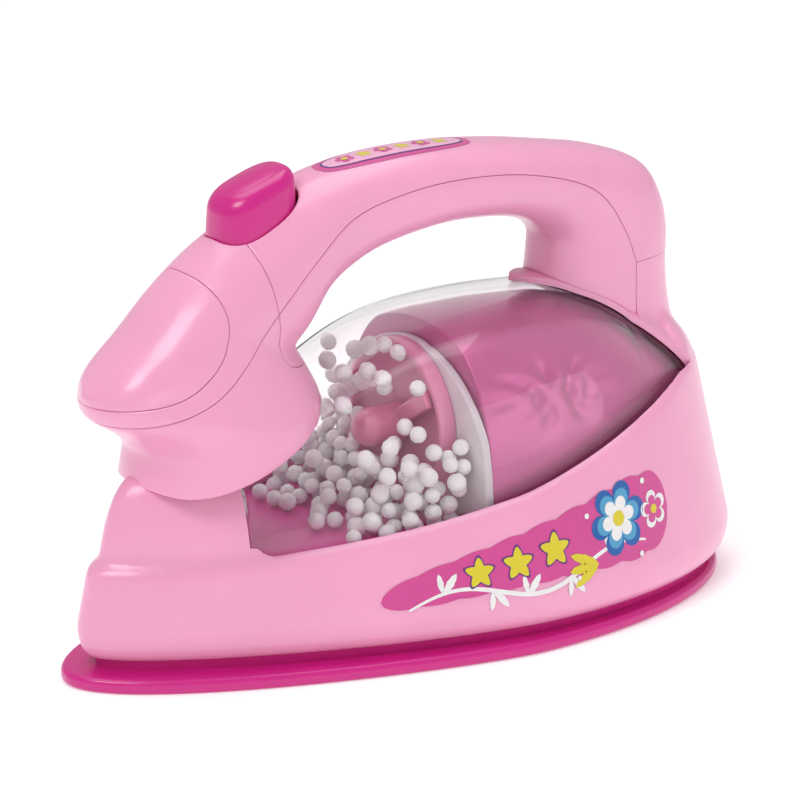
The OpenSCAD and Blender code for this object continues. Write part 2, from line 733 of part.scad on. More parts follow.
module deck_tray() {
    plan = [for (i = [0:plan_last]) inset_at(i, drafted(deck_z) + body_wall + seat_gap)];
    post_h = deck_z - deck_t/2 - sole_t;
    color("mediumvioletred") translate([at_x, 0, 0]) difference() {
        union() {
            translate([0, 0, deck_z - deck_t]) linear_extrude(height = deck_t) polygon(plan);
            at_screws(screw_places) translate([0, 0, sole_t]) cylinder(d = post_d, h = post_h, $fn = 40);
        }
        translate([0, -sole_w, 0]) cube([pedestal_rear_at + seat_gap, 2*sole_w, handle_top_z]);
        at_screws(screw_places) cylinder(d = screw_d + screw_clear, h = post_hole_z, $fn = 32);
    }
}

module arch_profile(r, spring) {
    difference() {
        union() {
            translate([0, spring]) circle(r = r, $fn = 64);
            translate([-r, deck_z]) square([2*r, spring - deck_z]);
        }
        translate([-2*r, deck_z - 2*r]) square([4*r, 2*r]);
    }
}

// Stands an outline drawn in width and height across the body, with its depth towards the heel
module across(at, depth) {
    translate([at, 0, 0]) rotate([90, 0, 90]) linear_extrude(height = depth) children();
}

// The dome's lining at one distance behind the nose, down to the deck
function lining(x) = let(arc = dome_arc(x, dome_wall + 2*seat_gap), last = len(arc) - 1) concat(
    [[arc[0][1], deck_z]], [for (p = arc) [p[1], p[2]]], [[arc[last][1], deck_z]]);

module bulkhead() {
    color("pink") translate([at_x, 0, 0]) difference() {
        across(bulkhead_at, bulkhead_depth) intersection() {
            arch_profile(bulkhead_r, axis_z);
            polygon(lining(bulkhead_at));
        }
        across(bulkhead_at - bulkhead_wall, bulkhead_depth) translate([0, axis_z])
            circle(r = bulkhead_r - bulkhead_wall, $fn = 64);
        translate([bulkhead_at, 0, axis_z]) rotate([0, 90, 0])
            cylinder(d = shaft_d + 2*seat_gap, h = 2*bulkhead_depth, $fn = 32);
    }
}

module clear_partition() {
    color("lavenderblush", 0.35) translate([at_x, 0, 0]) difference() {
        across(partition_at, partition_t) intersection() {
            arch_profile(partition_r, partition_spring_z);
            polygon(lining(partition_at));
            polygon(lining(partition_at + partition_t));
        }
        translate([partition_at - partition_t, 0, axis_z]) rotate([0, 90, 0])
            cylinder(d = 3*shaft_d, h = 3*partition_t, $fn = 32);
    }
}

cover_gap = 1.2*dome_wall;
cover_front_at = partition_at + partition_t + seat_gap;
cover_rear_at = dome_rear_at - 3*body_wall;
cover_stations = [for (t = [0:1/14:1]) mix(cover_front_at, cover_rear_at, t)];
function cover_arc(x, inset) = let(arc = dome_arc(x, inset), last = len(arc) - 1)
    concat([[x, arc[0][1], deck_z]], arc, [[x, arc[last][1], deck_z]]);
module rear_inner_cover() {
    inset = dome_wall + cover_gap;
    color("orchid") translate([at_x, 0, 0]) {
        skin([for (x = cover_stations)
            concat(cover_arc(x, inset), backwards(cover_arc(x, inset + box_wall)))], true);
        difference() {
            across(cover_front_at, box_wall)
                polygon([for (p = cover_arc(cover_front_at, inset + box_wall/2)) [p[1], p[2]]]);
            translate([cover_front_at - box_wall, 0, axis_z]) rotate([0, 90, 0])
                cylinder(d = 3*shaft_d, h = 3*box_wall, $fn = 32);
        }
    }
}

arm_front_at = bulkhead_at + bulkhead_depth - 2*bulkhead_wall - seat_gap - arm_t;
hub_front_at = bulkhead_at + bulkhead_depth - bulkhead_wall - seat_gap - hub_len;
module agitator() {
    color("hotpink") translate([at_x + hub_front_at, 0, axis_z]) {
        rotate([0, 90, 0]) difference() {
            union() {
                translate([0, 0, hub_d/2]) cylinder(d = hub_d, h = hub_len - hub_d/2, $fn = 48);
                translate([0, 0, hub_d/2]) sphere(d = hub_d, $fn = 48);
            }
            translate([0, 0, hub_d/2]) cylinder(d = shaft_d + 2*shaft_fit, h = hub_len, $fn = 32);
        }
        rotate([180 - arm_angle, 0, 0]) translate([arm_front_at - hub_front_at, shaft_d, -arm_w/2])
            cube([arm_t, arm_reach - shaft_d, arm_w]);
    }
}

// Motor

motor_front_at = cover_front_at + box_wall + seat_gap;
boss_d = 3*shaft_d - 2*seat_gap;
shaft_hole_len = 4*shaft_d;

// Turns a shape that rises from a level base so that it runs to the heel along the motor's axis
module on_axis(at) {
    translate([at_x + at, 0, axis_z]) rotate([0, 90, 0]) children();
}

module motor_shaft() {
    front = hub_front_at + hub_d/2;
    reach = motor_front_at + shaft_hole_len/2 - front;
    color("silver") on_axis(front) cylinder(d = shaft_d, h = reach, $fn = 32);
}

module motor() {
    color("silver") difference() {
        union() {
            intersection() {
                on_axis(motor_front_at) cylinder(d = motor_d, h = motor_len, $fn = 64);
                translate([at_x + motor_front_at, -motor_d, axis_z - motor_flat/2])
                    cube([motor_len, 2*motor_d, motor_flat]);
            }
            on_axis(motor_front_at - partition_t) cylinder(d = boss_d, h = motor_len/2, $fn = 40);
            on_axis(motor_front_at + motor_len/2)
                cylinder(d = boss_d, h = motor_len/2 + partition_t, $fn = 40);
        }
        on_axis(motor_front_at - motor_len) cylinder(d = shaft_d + 2*shaft_clear,
            h = motor_len + shaft_hole_len, $fn = 32);
    }
}

cradle_w = motor_d + 4*box_wall;
cradle_t = motor_len/8;
module motor_bracket() {
    color("white") translate([at_x + motor_front_at, 0, 0]) difference() {
        union() {
            translate([0, -cradle_w/2, deck_z]) cube([motor_len, cradle_w, box_wall]);
            for (share = [0.12, 0.76]) translate([share*motor_len, -cradle_w/2, deck_z])
                cube([cradle_t, cradle_w, axis_z - deck_z]);
        }
        translate([-motor_len, -motor_d, axis_z - motor_flat/2]) cube([3*motor_len, 2*motor_d, motor_flat]);
        translate([0, 0, axis_z]) rotate([0, 90, 0])
            cylinder(d = motor_d + 2*seat_gap, h = motor_len, $fn = 64);
    }
    color("white") translate([at_x + motor_front_at, 0, 0]) difference() {
        for (share = [0.12, 0.76]) translate([share*motor_len, -cradle_w/2, axis_z - motor_flat/2])
            cube([cradle_t, cradle_w, motor_flat/2]);
        translate([-motor_len, 0, axis_z]) rotate([0, 90, 0])
            cylinder(d = motor_d + 2*seat_gap, h = 3*motor_len, $fn = 64);
    }
}

// Batteries, their box and its door

module battery_box() {
    color("dimgray") translate([at_x + cell_front_at, 0, 0]) difference() {
        translate([-box_wall, -cell_w/2 - box_wall, sole_t])
            cube([cell_len + 2*box_wall, cell_w + 2*box_wall, box_roof_z + box_wall - sole_t]);
        translate([0, -cell_w/2, 0]) cube([cell_len, cell_w, box_roof_z]);
    }
}

nub_share = 0.02;
module battery() {
    cylinder(d = battery_d, h = battery_len*(1 - nub_share), $fn = 64);
    cylinder(d = battery_d*0.38, h = battery_len, $fn = 40);
}

function battery_y(side) = side*(battery_d + cell_gap)/2;
module batteries() {
    color("goldenrod") translate([at_x + cell_front_at + contact_room, 0, battery_z]) {
        translate([0, battery_y(-1), 0]) rotate([0, 90, 0]) battery();
        translate([battery_len, battery_y(1), 0]) rotate([0, -90, 0]) battery();
    }
}

// A contact: a plate against the wall with a raised boss that meets the battery's end
module contact(turn) {
    rotate([0, turn, 0]) {
        cylinder(d = battery_d*0.62, h = contact_t, $fn = 40);
        cylinder(d1 = battery_d*0.5, d2 = battery_d*0.3, h = contact_room, $fn = 40);
    }
}

module battery_contacts() {
    color("silver") translate([at_x + cell_front_at, 0, battery_z]) {
        for (side = [-1, 1]) translate([0, battery_y(side), 0]) contact(90);
        for (side = [-1, 1]) translate([cell_len, battery_y(side), 0]) contact(-90);
        translate([0, -battery_d/2, -battery_d/8]) cube([contact_t, battery_d, battery_d/4]);
    }
}

grip_count = 5;
module battery_door() {
    color("mediumvioletred") translate([at_x, 0, 0]) difference() {
        translate([door_front_at, -door_w/2, door_lift]) cube([door_len, door_w, door_t]);
        translate([door_screw_at, 0, 0]) {
            cylinder(d = screw_head_d + 2*seat_gap, h = screw_sink, $fn = 40);
            cylinder(d = screw_d + 2*seat_gap, h = 2*sole_t, $fn = 32);
        }
        for (i = [0:grip_count - 1]) translate([door_front_at + door_len*0.1 + 2*i*box_wall, -door_w/4, 0])
            cube([box_wall, door_w/2, door_lift + door_t/4]);
    }
}

// Screws

screw_lift = sole_t/7;
screw_head_h = screw_sink - screw_lift;
module screw(reach) {
    difference() {
        union() {
            cylinder(d = screw_head_d, h = screw_head_h, $fn = 40);
            cylinder(d = screw_d, h = reach - screw_lift, $fn = 32);
        }
        for (turn = [0, 90]) rotate([0, 0, turn])
            translate([-screw_head_d/4, -screw_head_d/16, -screw_head_h/2])
                cube([screw_head_d/2, screw_head_d/8, screw_head_h]);
    }
}

module door_screw() {
    color("silver") translate([at_x + door_screw_at, 0, screw_lift]) screw(door_boss_h);
}

module case_screws() {
    color("silver") translate([at_x, 0, screw_lift])
        at_screws(concat([front_screw], screw_places)) screw(post_hole_z - seat_gap);
}

// Foam beads: each is let fall at a place drawn from a fixed seed and comes to rest on the deck or on
// the beads below it, and some cling to the inside of the dome

bead_seed = 41;
bead_tries = 14;
bead_gap = bead_d/50;
bead_small_share = 0.8;
heap_slope = 0.8;
draws = rands(0, 1, 3*bead_tries*bead_count, bead_seed);
cling_count = 90;
cling_wall_share = 0.6;
cling_draws = rands(0, 1, 4*cling_count, bead_seed + 1);
sweep_front = arm_front_at - seat_gap;

// Height of the dome's lining over a place, drawn in by an inset; zero outside it
function roof_z(x, y, inset) = let(
    h = dome_half(x, inset),
    k = [for (i = [0:len(h) - 2]) if (abs(y) <= h[i][0] && abs(y) >= h[i + 1][0]) i])
    len(k) == 0 ? 0 : mix(h[k[0]][1], h[k[0] + 1][1],
        (h[k[0]][0] - abs(y))/max(h[k[0]][0] - h[k[0] + 1][0], bead_gap/9));
function rest_z(x, y, r, placed) = max([deck_z + r + bead_gap, for (q = placed) let(
    reach = r + q[3] + bead_gap,
    d = norm([x - q[0], y - q[1]])) if (d < reach) q[2] + sqrt(reach*reach - d*d)]);
// How far back a bead can lie: in front of the stirrer, or beside the bulkhead
function bead_limit(y, r) = (abs(y) > bulkhead_r + r + bead_gap ? partition_at : sweep_front) - r - bead_gap;
function clear_of_hub(x, y, z, r) = x + r < hub_front_at - seat_gap
    || norm([y, z - axis_z]) > hub_d/2 + r + seat_gap;
function apart(b, placed) = len([for (q = placed)
    if (norm([b[0] - q[0], b[1] - q[1], b[2] - q[2]]) < b[3] + q[3] + bead_gap*0.9) 1]) == 0;
function candidate(n, placed) = let(
    r = bead_d/2*mix(bead_small_share, 1, draws[3*n]),
    front = dome_front_at + dome_wall + r,
    x = mix(front, partition_at - r, draws[3*n + 1]),
    y = mix(-1, 1, draws[3*n + 2])*(rim_half(x) - body_wall - seat_gap - dome_wall - r - 4*bead_gap),
    z = rest_z(x, y, r, placed))
    [x, y, z, r, x < bead_limit(y, r) && clear_of_hub(x, y, z, r)
        && z < roof_z(x, y, dome_wall + r + 3*bead_gap) ? z + heap_slope*(partition_at - x) : overall_len];
function lowest(list, i = 0, best = 0) = i == len(list) ? list[best]
    : lowest(list, i + 1, list[i][4] < list[best][4] ? i : best);
function pile(n, placed) = n == bead_count ? placed : let(
    b = lowest([for (k = [0:bead_tries - 1]) candidate(n*bead_tries + k, placed)]))
    pile(n + 1, b[4] < overall_len ? concat(placed, [b]) : placed);
// Beads that cling in front of the stirrer, or to the dome's lining
function cling_place(n, r) = let(
    on_wall = cling_draws[4*n] < cling_wall_share,
    side = cling_draws[4*n + 3] < 0.75 ? -1 : 1,
    x = sweep_front - r - bead_gap - (on_wall ? cling_draws[4*n + 1]*bulkhead_r : 0),
    h = dome_half(x, dome_wall + r + 3*bead_gap),
    k = round(mix(2, len(h) - 2, cling_draws[4*n + 2])),
    a = 360*cling_draws[4*n + 2],
    reach = bulkhead_r*sqrt(cling_draws[4*n + 1]))
    on_wall ? [x, side*h[k][0], h[k][1], r] : [x, reach*cos(a), axis_z + reach*sin(a), r];
function clinging(n, placed) = n == cling_count ? placed : let(
    r = bead_d/2*mix(bead_small_share, 1, cling_draws[4*n + 1]),
    b = cling_place(n, r))
    clinging(n + 1, apart(b, placed) && clear_of_hub(b[0], b[1], b[2], r) && b[2] > deck_z + r + bead_gap
        ? concat(placed, [b]) : placed);

module foam_beads() {
    color("white") translate([at_x, 0, 0]) for (b = clinging(0, pile(0, [])))
        translate([b[0], b[1], b[2]]) sphere(r = b[3], $fn = 18);
}

sole_plate();
body_shell();
clear_dome();
neck_shell();
head_cover();
beak_cover();
handle_cover();
handle_grip();
push_button();
button_spring();
switch_base();
switch_contacts();
deck_tray();
bulkhead();
clear_partition();
rear_inner_cover();
agitator();
motor_shaft();
motor();
motor_bracket();
foam_beads();
battery_box();
batteries();
battery_contacts();
battery_door();
door_screw();
case_screws();
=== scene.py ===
import json
import math
import random

import bmesh
import bpy
from mathutils import Matrix, Vector
from mathutils.bvhtree import BVHTree

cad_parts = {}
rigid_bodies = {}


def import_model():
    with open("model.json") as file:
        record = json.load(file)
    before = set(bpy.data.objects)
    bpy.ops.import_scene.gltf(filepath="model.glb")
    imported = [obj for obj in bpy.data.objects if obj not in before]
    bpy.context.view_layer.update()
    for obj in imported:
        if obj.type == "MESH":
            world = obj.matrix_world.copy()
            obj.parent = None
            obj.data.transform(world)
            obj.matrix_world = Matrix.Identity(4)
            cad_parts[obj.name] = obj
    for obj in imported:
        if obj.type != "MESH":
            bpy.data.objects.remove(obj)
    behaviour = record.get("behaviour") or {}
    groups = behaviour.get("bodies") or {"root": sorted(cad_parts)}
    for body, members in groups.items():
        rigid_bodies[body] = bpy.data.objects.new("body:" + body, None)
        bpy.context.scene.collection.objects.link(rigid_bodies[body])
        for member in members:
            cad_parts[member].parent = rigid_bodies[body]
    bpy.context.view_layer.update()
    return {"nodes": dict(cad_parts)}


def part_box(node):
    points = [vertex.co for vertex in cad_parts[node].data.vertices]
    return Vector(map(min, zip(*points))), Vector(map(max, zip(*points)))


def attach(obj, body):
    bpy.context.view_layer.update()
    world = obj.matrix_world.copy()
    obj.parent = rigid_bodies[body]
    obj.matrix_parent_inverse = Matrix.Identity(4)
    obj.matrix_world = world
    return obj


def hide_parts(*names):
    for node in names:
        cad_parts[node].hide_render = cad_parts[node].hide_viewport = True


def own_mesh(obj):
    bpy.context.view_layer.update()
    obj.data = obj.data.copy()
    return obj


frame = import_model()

bl_info = {
    "name": "Toy steam iron",
    "version": (1, 0, 0),
    "blender": (4, 5, 0),
    "location": "View3D > Sidebar > Iron",
    "description": "Dresses the packed toy iron with smooth shells, stickers, beads and finishes",
    "category": "Object",
}

# Sizes in millimetres. Places are given by s, the distance behind the nose, y, the width, and z, the height.
MM = 0.001
OVERALL, HANDLE_TOP = 152.5, 94.2
SOLE_LEN, SOLE_W, SOLE_T, SOLE_EDGE = 150.0, 74.5, 2.8, 1.1
LIP_FOOT, LIP_TOP, LIP_T = 1.4, 7.8, 1.4
BODY_HALF, BODY_NOSE = 36.5, 3.0
SKIRT_Z, BELLY_Z, TUCK, DRAFT = 4.6, 11.0, 3.0, 0.22
WALL, SEAT = 2.0, 0.3
RIM_FRONT, RIM_REAR, RIM_R, RIM_POWER = 22.6, 45.5, 1.2, 2.2
WINDOW_REAR, WINDOW_END, WINDOW_EDGE = 136.5, 142, 0.35
HOOD_TIP, HOOD_REAR, HOOD_T = 102.6, 138.4, 1.6
SHOULDER_FRONT, LEG_WALL = 134, 2
PEDESTAL_REAR, PEDESTAL_LEDGE, PEDESTAL_TOP = 31.5, 0.9, 39.5
NECK_W, HANDLE_W, HANDLE_WALL, HEAD_W, HEAD_WALL = 38.0, 21.5, 2.0, 27.0, 1.8
DOME_FRONT, DOME_REAR = PEDESTAL_REAR + SEAT, WINDOW_REAR + WALL + HOOD_T
DOME_WALL, DOME_TOP, DOME_SINK = 1.5, 63.2, 1.55 * WALL
CREASE_HALF, CREASE_MIDDLE, CREASE_SPAN, CREASE_REACH, CREASE_DROP, BAND_DROP = 13.0, 0.49, 0.33, 0.4, 0.06, 0.06
DECK_Z, AXIS_Z = 22.8, 39.0
COVER_ROOM, COVER_WALL = 3.35, 1.3
SHAFT_HOLE_R = 3
BUTTON_S, BUTTON_Z, BUTTON_TILT = 0.277 * OVERALL, 0.897 * HANDLE_TOP, 20
BUTTON_LONG, BUTTON_WIDE, BUTTON_H, BUTTON_TRAVEL = 8.4, 6.8, 8.8, 3.0
BUTTON_GAP = 0.35
WELL_R, WELL_TOP, WELL_H = 4.6, 86.15, 40
STEM_R, STEM_MIDDLE, STEM_H = 1.87, 79.3, 14.6
HUB_R, HUB_EDGE, HUB_BORE_R = 4.0, 0.3, 1.03
ARM_T, ARM_LONG, ARM_WIDE, ARM_WIDENS, ARM_TURN = 1.9, 12.0, 3.4, 1.12, 147
ARM_BACK, ARM_OUT = 2.0, 8.6  # the arm's middle before the hub's rear face and beside the axis
HIDES_WITHIN, HIDES_BEFORE = 4.6, 4  # how near to the line of sight and how far before the stirrer a bead hides it
SCREWS = [(21.375, 0), (77.7, -21.55), (77.7, 21.55), (111.2, -21.55), (111.2, 21.55)]
SCREW_HEAD_R, SCREW_HEAD_H, SCREW_BORE_R, SCREW_BORE_H = 2.8, 2.6, 1.6, 12
DOOR_SCREW, POST_MIDDLE, POST_R, POST_H, PILOT_R, PILOT_H = 128.9, 5.4, 3.2, 8, 1.35, 20
DOOR_ROOM, DOOR_RECESS, BOX_LEDGE, BOX_OPENING = 0.3, 1.95, 1.4, 5
DIMPLES, DIMPLE_LONG, DIMPLE_R, DIMPLE_DEPTH = [(93.3, 46.2), (101.1, 46.8)], 1.3, 1.2, 1.6
FOLDS, FOLDS_AT, FOLDS_LONG, FOLDS_TURN = 9, (97.5, 46.6), 2.7, 0.4
FOLDS_FROM, FOLDS_RISE, FOLDS_TO, FOLDS_FADE = 1.9, 1.4, 3.4, 2.6
BEAD_SHARE, BEAD_SQUASH = 0.992, 0.96
AHEAD, BEHIND, BESIDE, OVERHEAD = -20, 200, 60, 120  # clear of the iron, before, behind, beside and above it
OVER_BODY = 90
PHOTO_SIDE, PHOTO_FOCUS, SENSOR = 800, 4082, 36
VIEW_TURN, VIEW_RISE = math.radians(-34.56), math.radians(17.17)
TOWARD_VIEW = Vector((math.sin(VIEW_TURN) * math.cos(VIEW_RISE), -math.cos(VIEW_TURN) * math.cos(VIEW_RISE),
                      math.sin(VIEW_RISE)))
VIEW_AIM, VIEW_BACK = Vector((0.00018, 0, 0.04326)), 0.8  # in metres


def mix(a, b, t):
    return a + (b - a) * t


def signed_pow(v, e):
    return math.copysign(abs(v) ** e, v)


def place(s, y, z):
    """A point of the frame from its distance behind the nose, its width and its height."""
    return Vector(((s - OVERALL / 2) * MM, y * MM, z * MM))


def behind_nose(x):
    """The distance behind the nose of a place in the frame."""
    return x / MM + OVERALL / 2


def turn_steps(step, start=0):
    """Angles of a quarter turn, in steps of so many degrees."""
    return [math.radians(a) for a in range(start, 91, step)]


def cubic(p, t):
    """A point of the curve that four control points give."""
    u = 1 - t
    return tuple(u**3 * a + 3 * u * u * t * b + 3 * u * t * t * c + t**3 * d for a, b, c, d in zip(*p))


def smooth_rows(rows, steps):
    """Rows of numbers with evenly spaced rows added between them on a smooth line."""
    last = len(rows) - 1
    gap = [max(math.dist(a[:2], b[:2]), 1e-9) for a, b in zip(rows, rows[1:])]

    def slope(i, k):
        if i in (0, last):
            j = min(i, last - 1)
            return (rows[j + 1][k] - rows[j][k]) / gap[j]
        a, b = (rows[i][k] - rows[i - 1][k]) / gap[i - 1], (rows[i + 1][k] - rows[i][k]) / gap[i]
        return (a * gap[i] + b * gap[i - 1]) / (gap[i - 1] + gap[i])

    out = []
    for i in range(last):
        for step in range(steps):
            t = step / steps
            out.append([(2 * t**3 - 3 * t * t + 1) * rows[i][k] + (t**3 - 2 * t * t + t) * gap[i] * slope(i, k)
                        + (3 * t * t - 2 * t**3) * rows[i + 1][k] + (t**3 - t * t) * gap[i] * slope(i + 1, k)
                        for k in range(len(rows[0]))])
    out.append(list(rows[-1]))
    return out


def row_value(rows, x):
    """Value at x of a smooth line through rows of [x, value]."""
    i = 0
    while i < len(rows) - 2 and x >= rows[i + 1][0]:
        i += 1
    slope = lambda k: ((rows[min(k + 1, len(rows) - 1)][1] - rows[max(k - 1, 0)][1])
                       / (rows[min(k + 1, len(rows) - 1)][0] - rows[max(k - 1, 0)][0]))
    w = rows[i + 1][0] - rows[i][0]
    t = min(max((x - rows[i][0]) / w, 0), 1)
    ease = t * t * (3 - 2 * t)
    return (mix(rows[i][1], rows[i + 1][1], ease) + (t**3 - 2 * t * t + t) * w * slope(i)
            + (t**3 - t * t) * w * slope(i + 1))


# Outlines of the body, the dome, the head and the handle

def half_plan(nose, tail, half, wide, shares, steps=36):
    """One side of a pointed plan, from the nose over its widest place to the tail."""
    front = [(nose, 0), (nose, shares[0] * half), (mix(wide, nose, shares[1]), half), (wide, half)]
    rear = [(wide, half), (mix(wide, tail, shares[2]), half), (tail, shares[3] * half), (tail, 0)]
    return [cubic(front, i / steps) for i in range(steps + 1)] + [cubic(rear, i / steps) for i in range(1, steps + 1)]


def sole_side(inset):
    wide, shares = SOLE_LEN * 0.57, (0.5, 0.18, 0.58, 0.56)
    return half_plan(inset, SOLE_LEN - inset, SOLE_W / 2 - inset, wide, shares)


def body_side(inset):
    wide, shares = OVERALL * 0.6, (0.3, 0.3, 0.55, 0.6)
    return half_plan(BODY_NOSE + inset, OVERALL - inset, BODY_HALF - inset, wide, shares)


INNER_AT = BODY_HALF / 4
BODY_PLAN, BODY_PLAN_IN = body_side(0), body_side(INNER_AT)


def body_point(i, inset):
    a, b = BODY_PLAN[i], BODY_PLAN_IN[i]
    return mix(a[0], b[0], inset / INNER_AT), mix(a[1], b[1], inset / INNER_AT)


def drafted(z):
    """How far the skirt leans in at a height."""
    return DRAFT * max(z - BELLY_Z, 0)


def rim_z(s):
    """Height of the sloping rim, which runs level behind the window."""
    return RIM_FRONT + (RIM_REAR - RIM_FRONT) * min(max(s, 0) / WINDOW_REAR, 1) ** RIM_POWER


def around(side):
    """Points of one side carried round the nose and the tail, with the first again at the end."""
    return [(p[0], -p[1], p[2]) for p in side] + [p for p in side[-2::-1]]


def body_ring(z, inset):
    return around([(*body_point(i, drafted(z) + inset), z) for i in range(len(BODY_PLAN))])


def rim_ring(drop, inset):
    """A ring that follows the sloping rim."""
    side = []
    for i, p in enumerate(BODY_PLAN):
        z = rim_z(p[0]) - drop
        side.append((*body_point(i, drafted(z) + inset), z))
    return around(side)


def rim_half(s):
    """Half the width of the body at its rim."""
    for a, b in zip(BODY_PLAN, BODY_PLAN[1:]):
        if s <= b[0]:
            return mix(a[1], b[1], min(max((s - a[0]) / (b[0] - a[0]), 0), 1)) - drafted(rim_z(s))
    return 0.0


RIDGE = [[0.2, 0.63], [0.25, 0.68], [0.328, 0.78], [0.39, 0.868], [0.46, 0.943], [0.53, 0.985], [0.6, 1],
         [0.675, 1], [0.74, 0.988], [0.8, 0.945], [0.855, 0.862], [0.9, 0.76], [0.921, 0.7]]


def dome_half(s, inset, side_steps=26, band_steps=10):
    """One side of the dome's section, from its foot over the soft crease to the ridge."""
    foot = rim_z(s) - DOME_SINK
    half = max(rim_half(s) - WALL - SEAT - inset, WALL)
    top = row_value(RIDGE, s / OVERALL) * DOME_TOP - inset
    rise = top - foot
    crease = CREASE_HALF * math.sqrt(max(1 - ((s / OVERALL - CREASE_MIDDLE) / CREASE_SPAN) ** 2, 0.05))
    edge = min(crease, half / 2)
    edge_z = top - BAND_DROP * rise
    side = [(half, foot), (half * 0.98, foot + rise * 0.62),
            (mix(edge, half, CREASE_REACH), edge_z - rise * CREASE_DROP), (edge, edge_z)]
    band = [(edge, edge_z), (edge * 2 / 3, edge_z + (top - edge_z) * 2 / 3), (edge / 3, top), (0, top)]
    return ([cubic(side, i / side_steps) for i in range(side_steps + 1)]
            + [cubic(band, i / band_steps) for i in range(1, band_steps + 1)])


def dome_arc(s, inset):
    h = dome_half(s, inset)
    return [(s, y, z) for y, z in h] + [(s, -y, z) for y, z in h[-2::-1]]


def roof_z(s, y, inset):
    """Height of the dome over a place."""
    h = dome_half(s, inset)
    for a, b in zip(h, h[1:]):
        if b[0] <= abs(y) <= a[0]:
            return mix(a[1], b[1], (a[0] - abs(y)) / max(a[0] - b[0], 1e-6))
    return h[0][1]


# Side views, as shares of the overall length and of the handle's height
TOP = [[0.043, 0.615], [0.066, 0.653], [0.113, 0.728], [0.168, 0.815], [0.214, 0.871], [0.264, 0.913],
       [0.315, 0.948], [0.367, 0.978], [0.42, 0.994], [0.47, 1], [0.55, 1], [0.64, 0.988], [0.725, 0.966],
       [0.806, 0.939], [0.87, 0.897], [0.9, 0.828], [0.911, 0.757], [0.913, 0.69]]
LOW = [[0.038, 0.576], [0.048, 0.543], [0.112, 0.49], [0.184, 0.49], [0.249, 0.535], [0.3, 0.605],
       [0.331, 0.658], [0.36, 0.73], [0.394, 0.772], [0.435, 0.803], [0.53, 0.832], [0.616, 0.831],
       [0.672, 0.814], [0.705, 0.786], [0.72, 0.752], [0.721, 0.72], [0.717, 0.695], [0.708, 0.674]]
# Half widths of the sections of the head and the handle, as shares of their widths
HEAD_SHARES = [0.24, 0.6, 0.87, 0.985, 0.985, 0.93]
HANDLE_SHARES = [1.08, 1.03, 1, 1, 1, 1, 1, 1, 1, 1.01, 1.02, 1.05]
# How squared the sections are: 1 is a plain oval
HEAD_SQUARE, HANDLE_SQUARE, LEG_SQUARE, BUTTON_SQUARE = 0.96, 0.86, 0.92, 0.72
LEG_HALF_MOST = 11.1
# Level sections of the neck and the rear leg: height, front, rear and width
NECK = [[0.38, 0.096, 0.262, 0.8], [0.42, 0.102, 0.31, 0.92], [0.465, 0.105, 0.345, 0.985],
        [0.51, 0.076, 0.358, 1], [0.55, 0.042, 0.357, 0.96], [0.59, 0.038, 0.345, 0.89],
        [0.635, 0.07, 0.328, 0.81], [0.68, 0.1, 0.312, 0.74], [0.72, 0.15, 0.298, 0.68]]
LEG = [[0.43, 0.75, 0.942, 1.8], [0.47, 0.735, 0.937, 1.5], [0.51, 0.72, 0.93, 1.24], [0.55, 0.71, 0.924, 1.1],
       [0.59, 0.708, 0.919, 1.05], [0.64, 0.708, 0.915, 1.03], [0.7, 0.712, 0.913, 1.02], [0.76, 0.715, 0.913, 1]]
# The shoulder behind the window, by height over the rim and inset, and the hood's edge, by place and half width
SHOULDER = [[-4, 0.7], [0, 0.4], [2.8, 1.1], [5, 2.3], [7, 3.9], [10.3, 6.4], [12.2, 7.4]]
HOOD_EDGE = [[102.6, 0.05], [104, 1.9], [106, 3.7], [109, 5.8], [112, 7.8], [115, 9.4], [118, 10.7], [122, 12],
             [131.9, 15.2], [137, 16.4], [141, 16.2]]
# Seams between the shells, in the side view
HEAD_LINE = [[-0.1, 0.53], [0.075, 0.55], [0.118, 0.569], [0.164, 0.6], [0.21, 0.653], [0.264, 0.738]]
FRONT_SEAM = [[0.264, 0.738], [0.257, 0.796], [0.241, 0.89], [0.241, 1.2]]
NECK_SEAM = [[0.264, 0.738], [0.285, 0.623], [0.345, 0.6]]
VISOR_LINE = [[-0.1, 0.573], [0.03, 0.577], [0.134, 0.614], [0.18, 0.674], [0.193, 0.74], [0.18, 0.807],
              [0.159, 0.844], [0.157, 1.2]]
PARTING = [[0.264, 0.738], [0.33, 0.832], [0.384, 0.899], [0.482, 0.937], [0.577, 0.942], [0.666, 0.925],
           [0.756, 0.876], [0.81, 0.769], [0.827, 0.7]]
NECK_LOW = [[-0.1, 0.405], [0.09, 0.403], [0.125, 0.389], [0.165, 0.396], [0.206, 0.416], [0.262, 0.456],
            [0.324, 0.502], [0.5, 0.56]]
LEG_LINE = [[0.6, 0.57], [0.827, 0.57], [0.827, 0.7], [1.1, 0.715]]
FOOT_LINE = [[-0.1, 0.45], [0.62, 0.45], [0.62, 0.57], [0.827, 0.57], [0.827, 0.7], [1.1, 0.715]]


def handle_sections():
    """Rows of top point, low point, half width and squareness, from the tip of the head to the foot of the leg."""
    halves = [share * HEAD_W / 2 for share in HEAD_SHARES] + [share * HANDLE_W / 2 for share in HANDLE_SHARES]
    square = [HEAD_SQUARE] * len(HEAD_SHARES) + [HANDLE_SQUARE] * len(HANDLE_SHARES)
    rows = [[*top, *low, half, power] for top, low, half, power in zip(TOP, LOW, halves, square)]
    rows.append([0.917, 0.66, 0.694, 0.655, HANDLE_W * 0.6, HANDLE_SQUARE])
    rows = smooth_rows(rows, 6)
    while rows[-1][4] > LEG_HALF_MOST:
        rows.pop()
    return rows


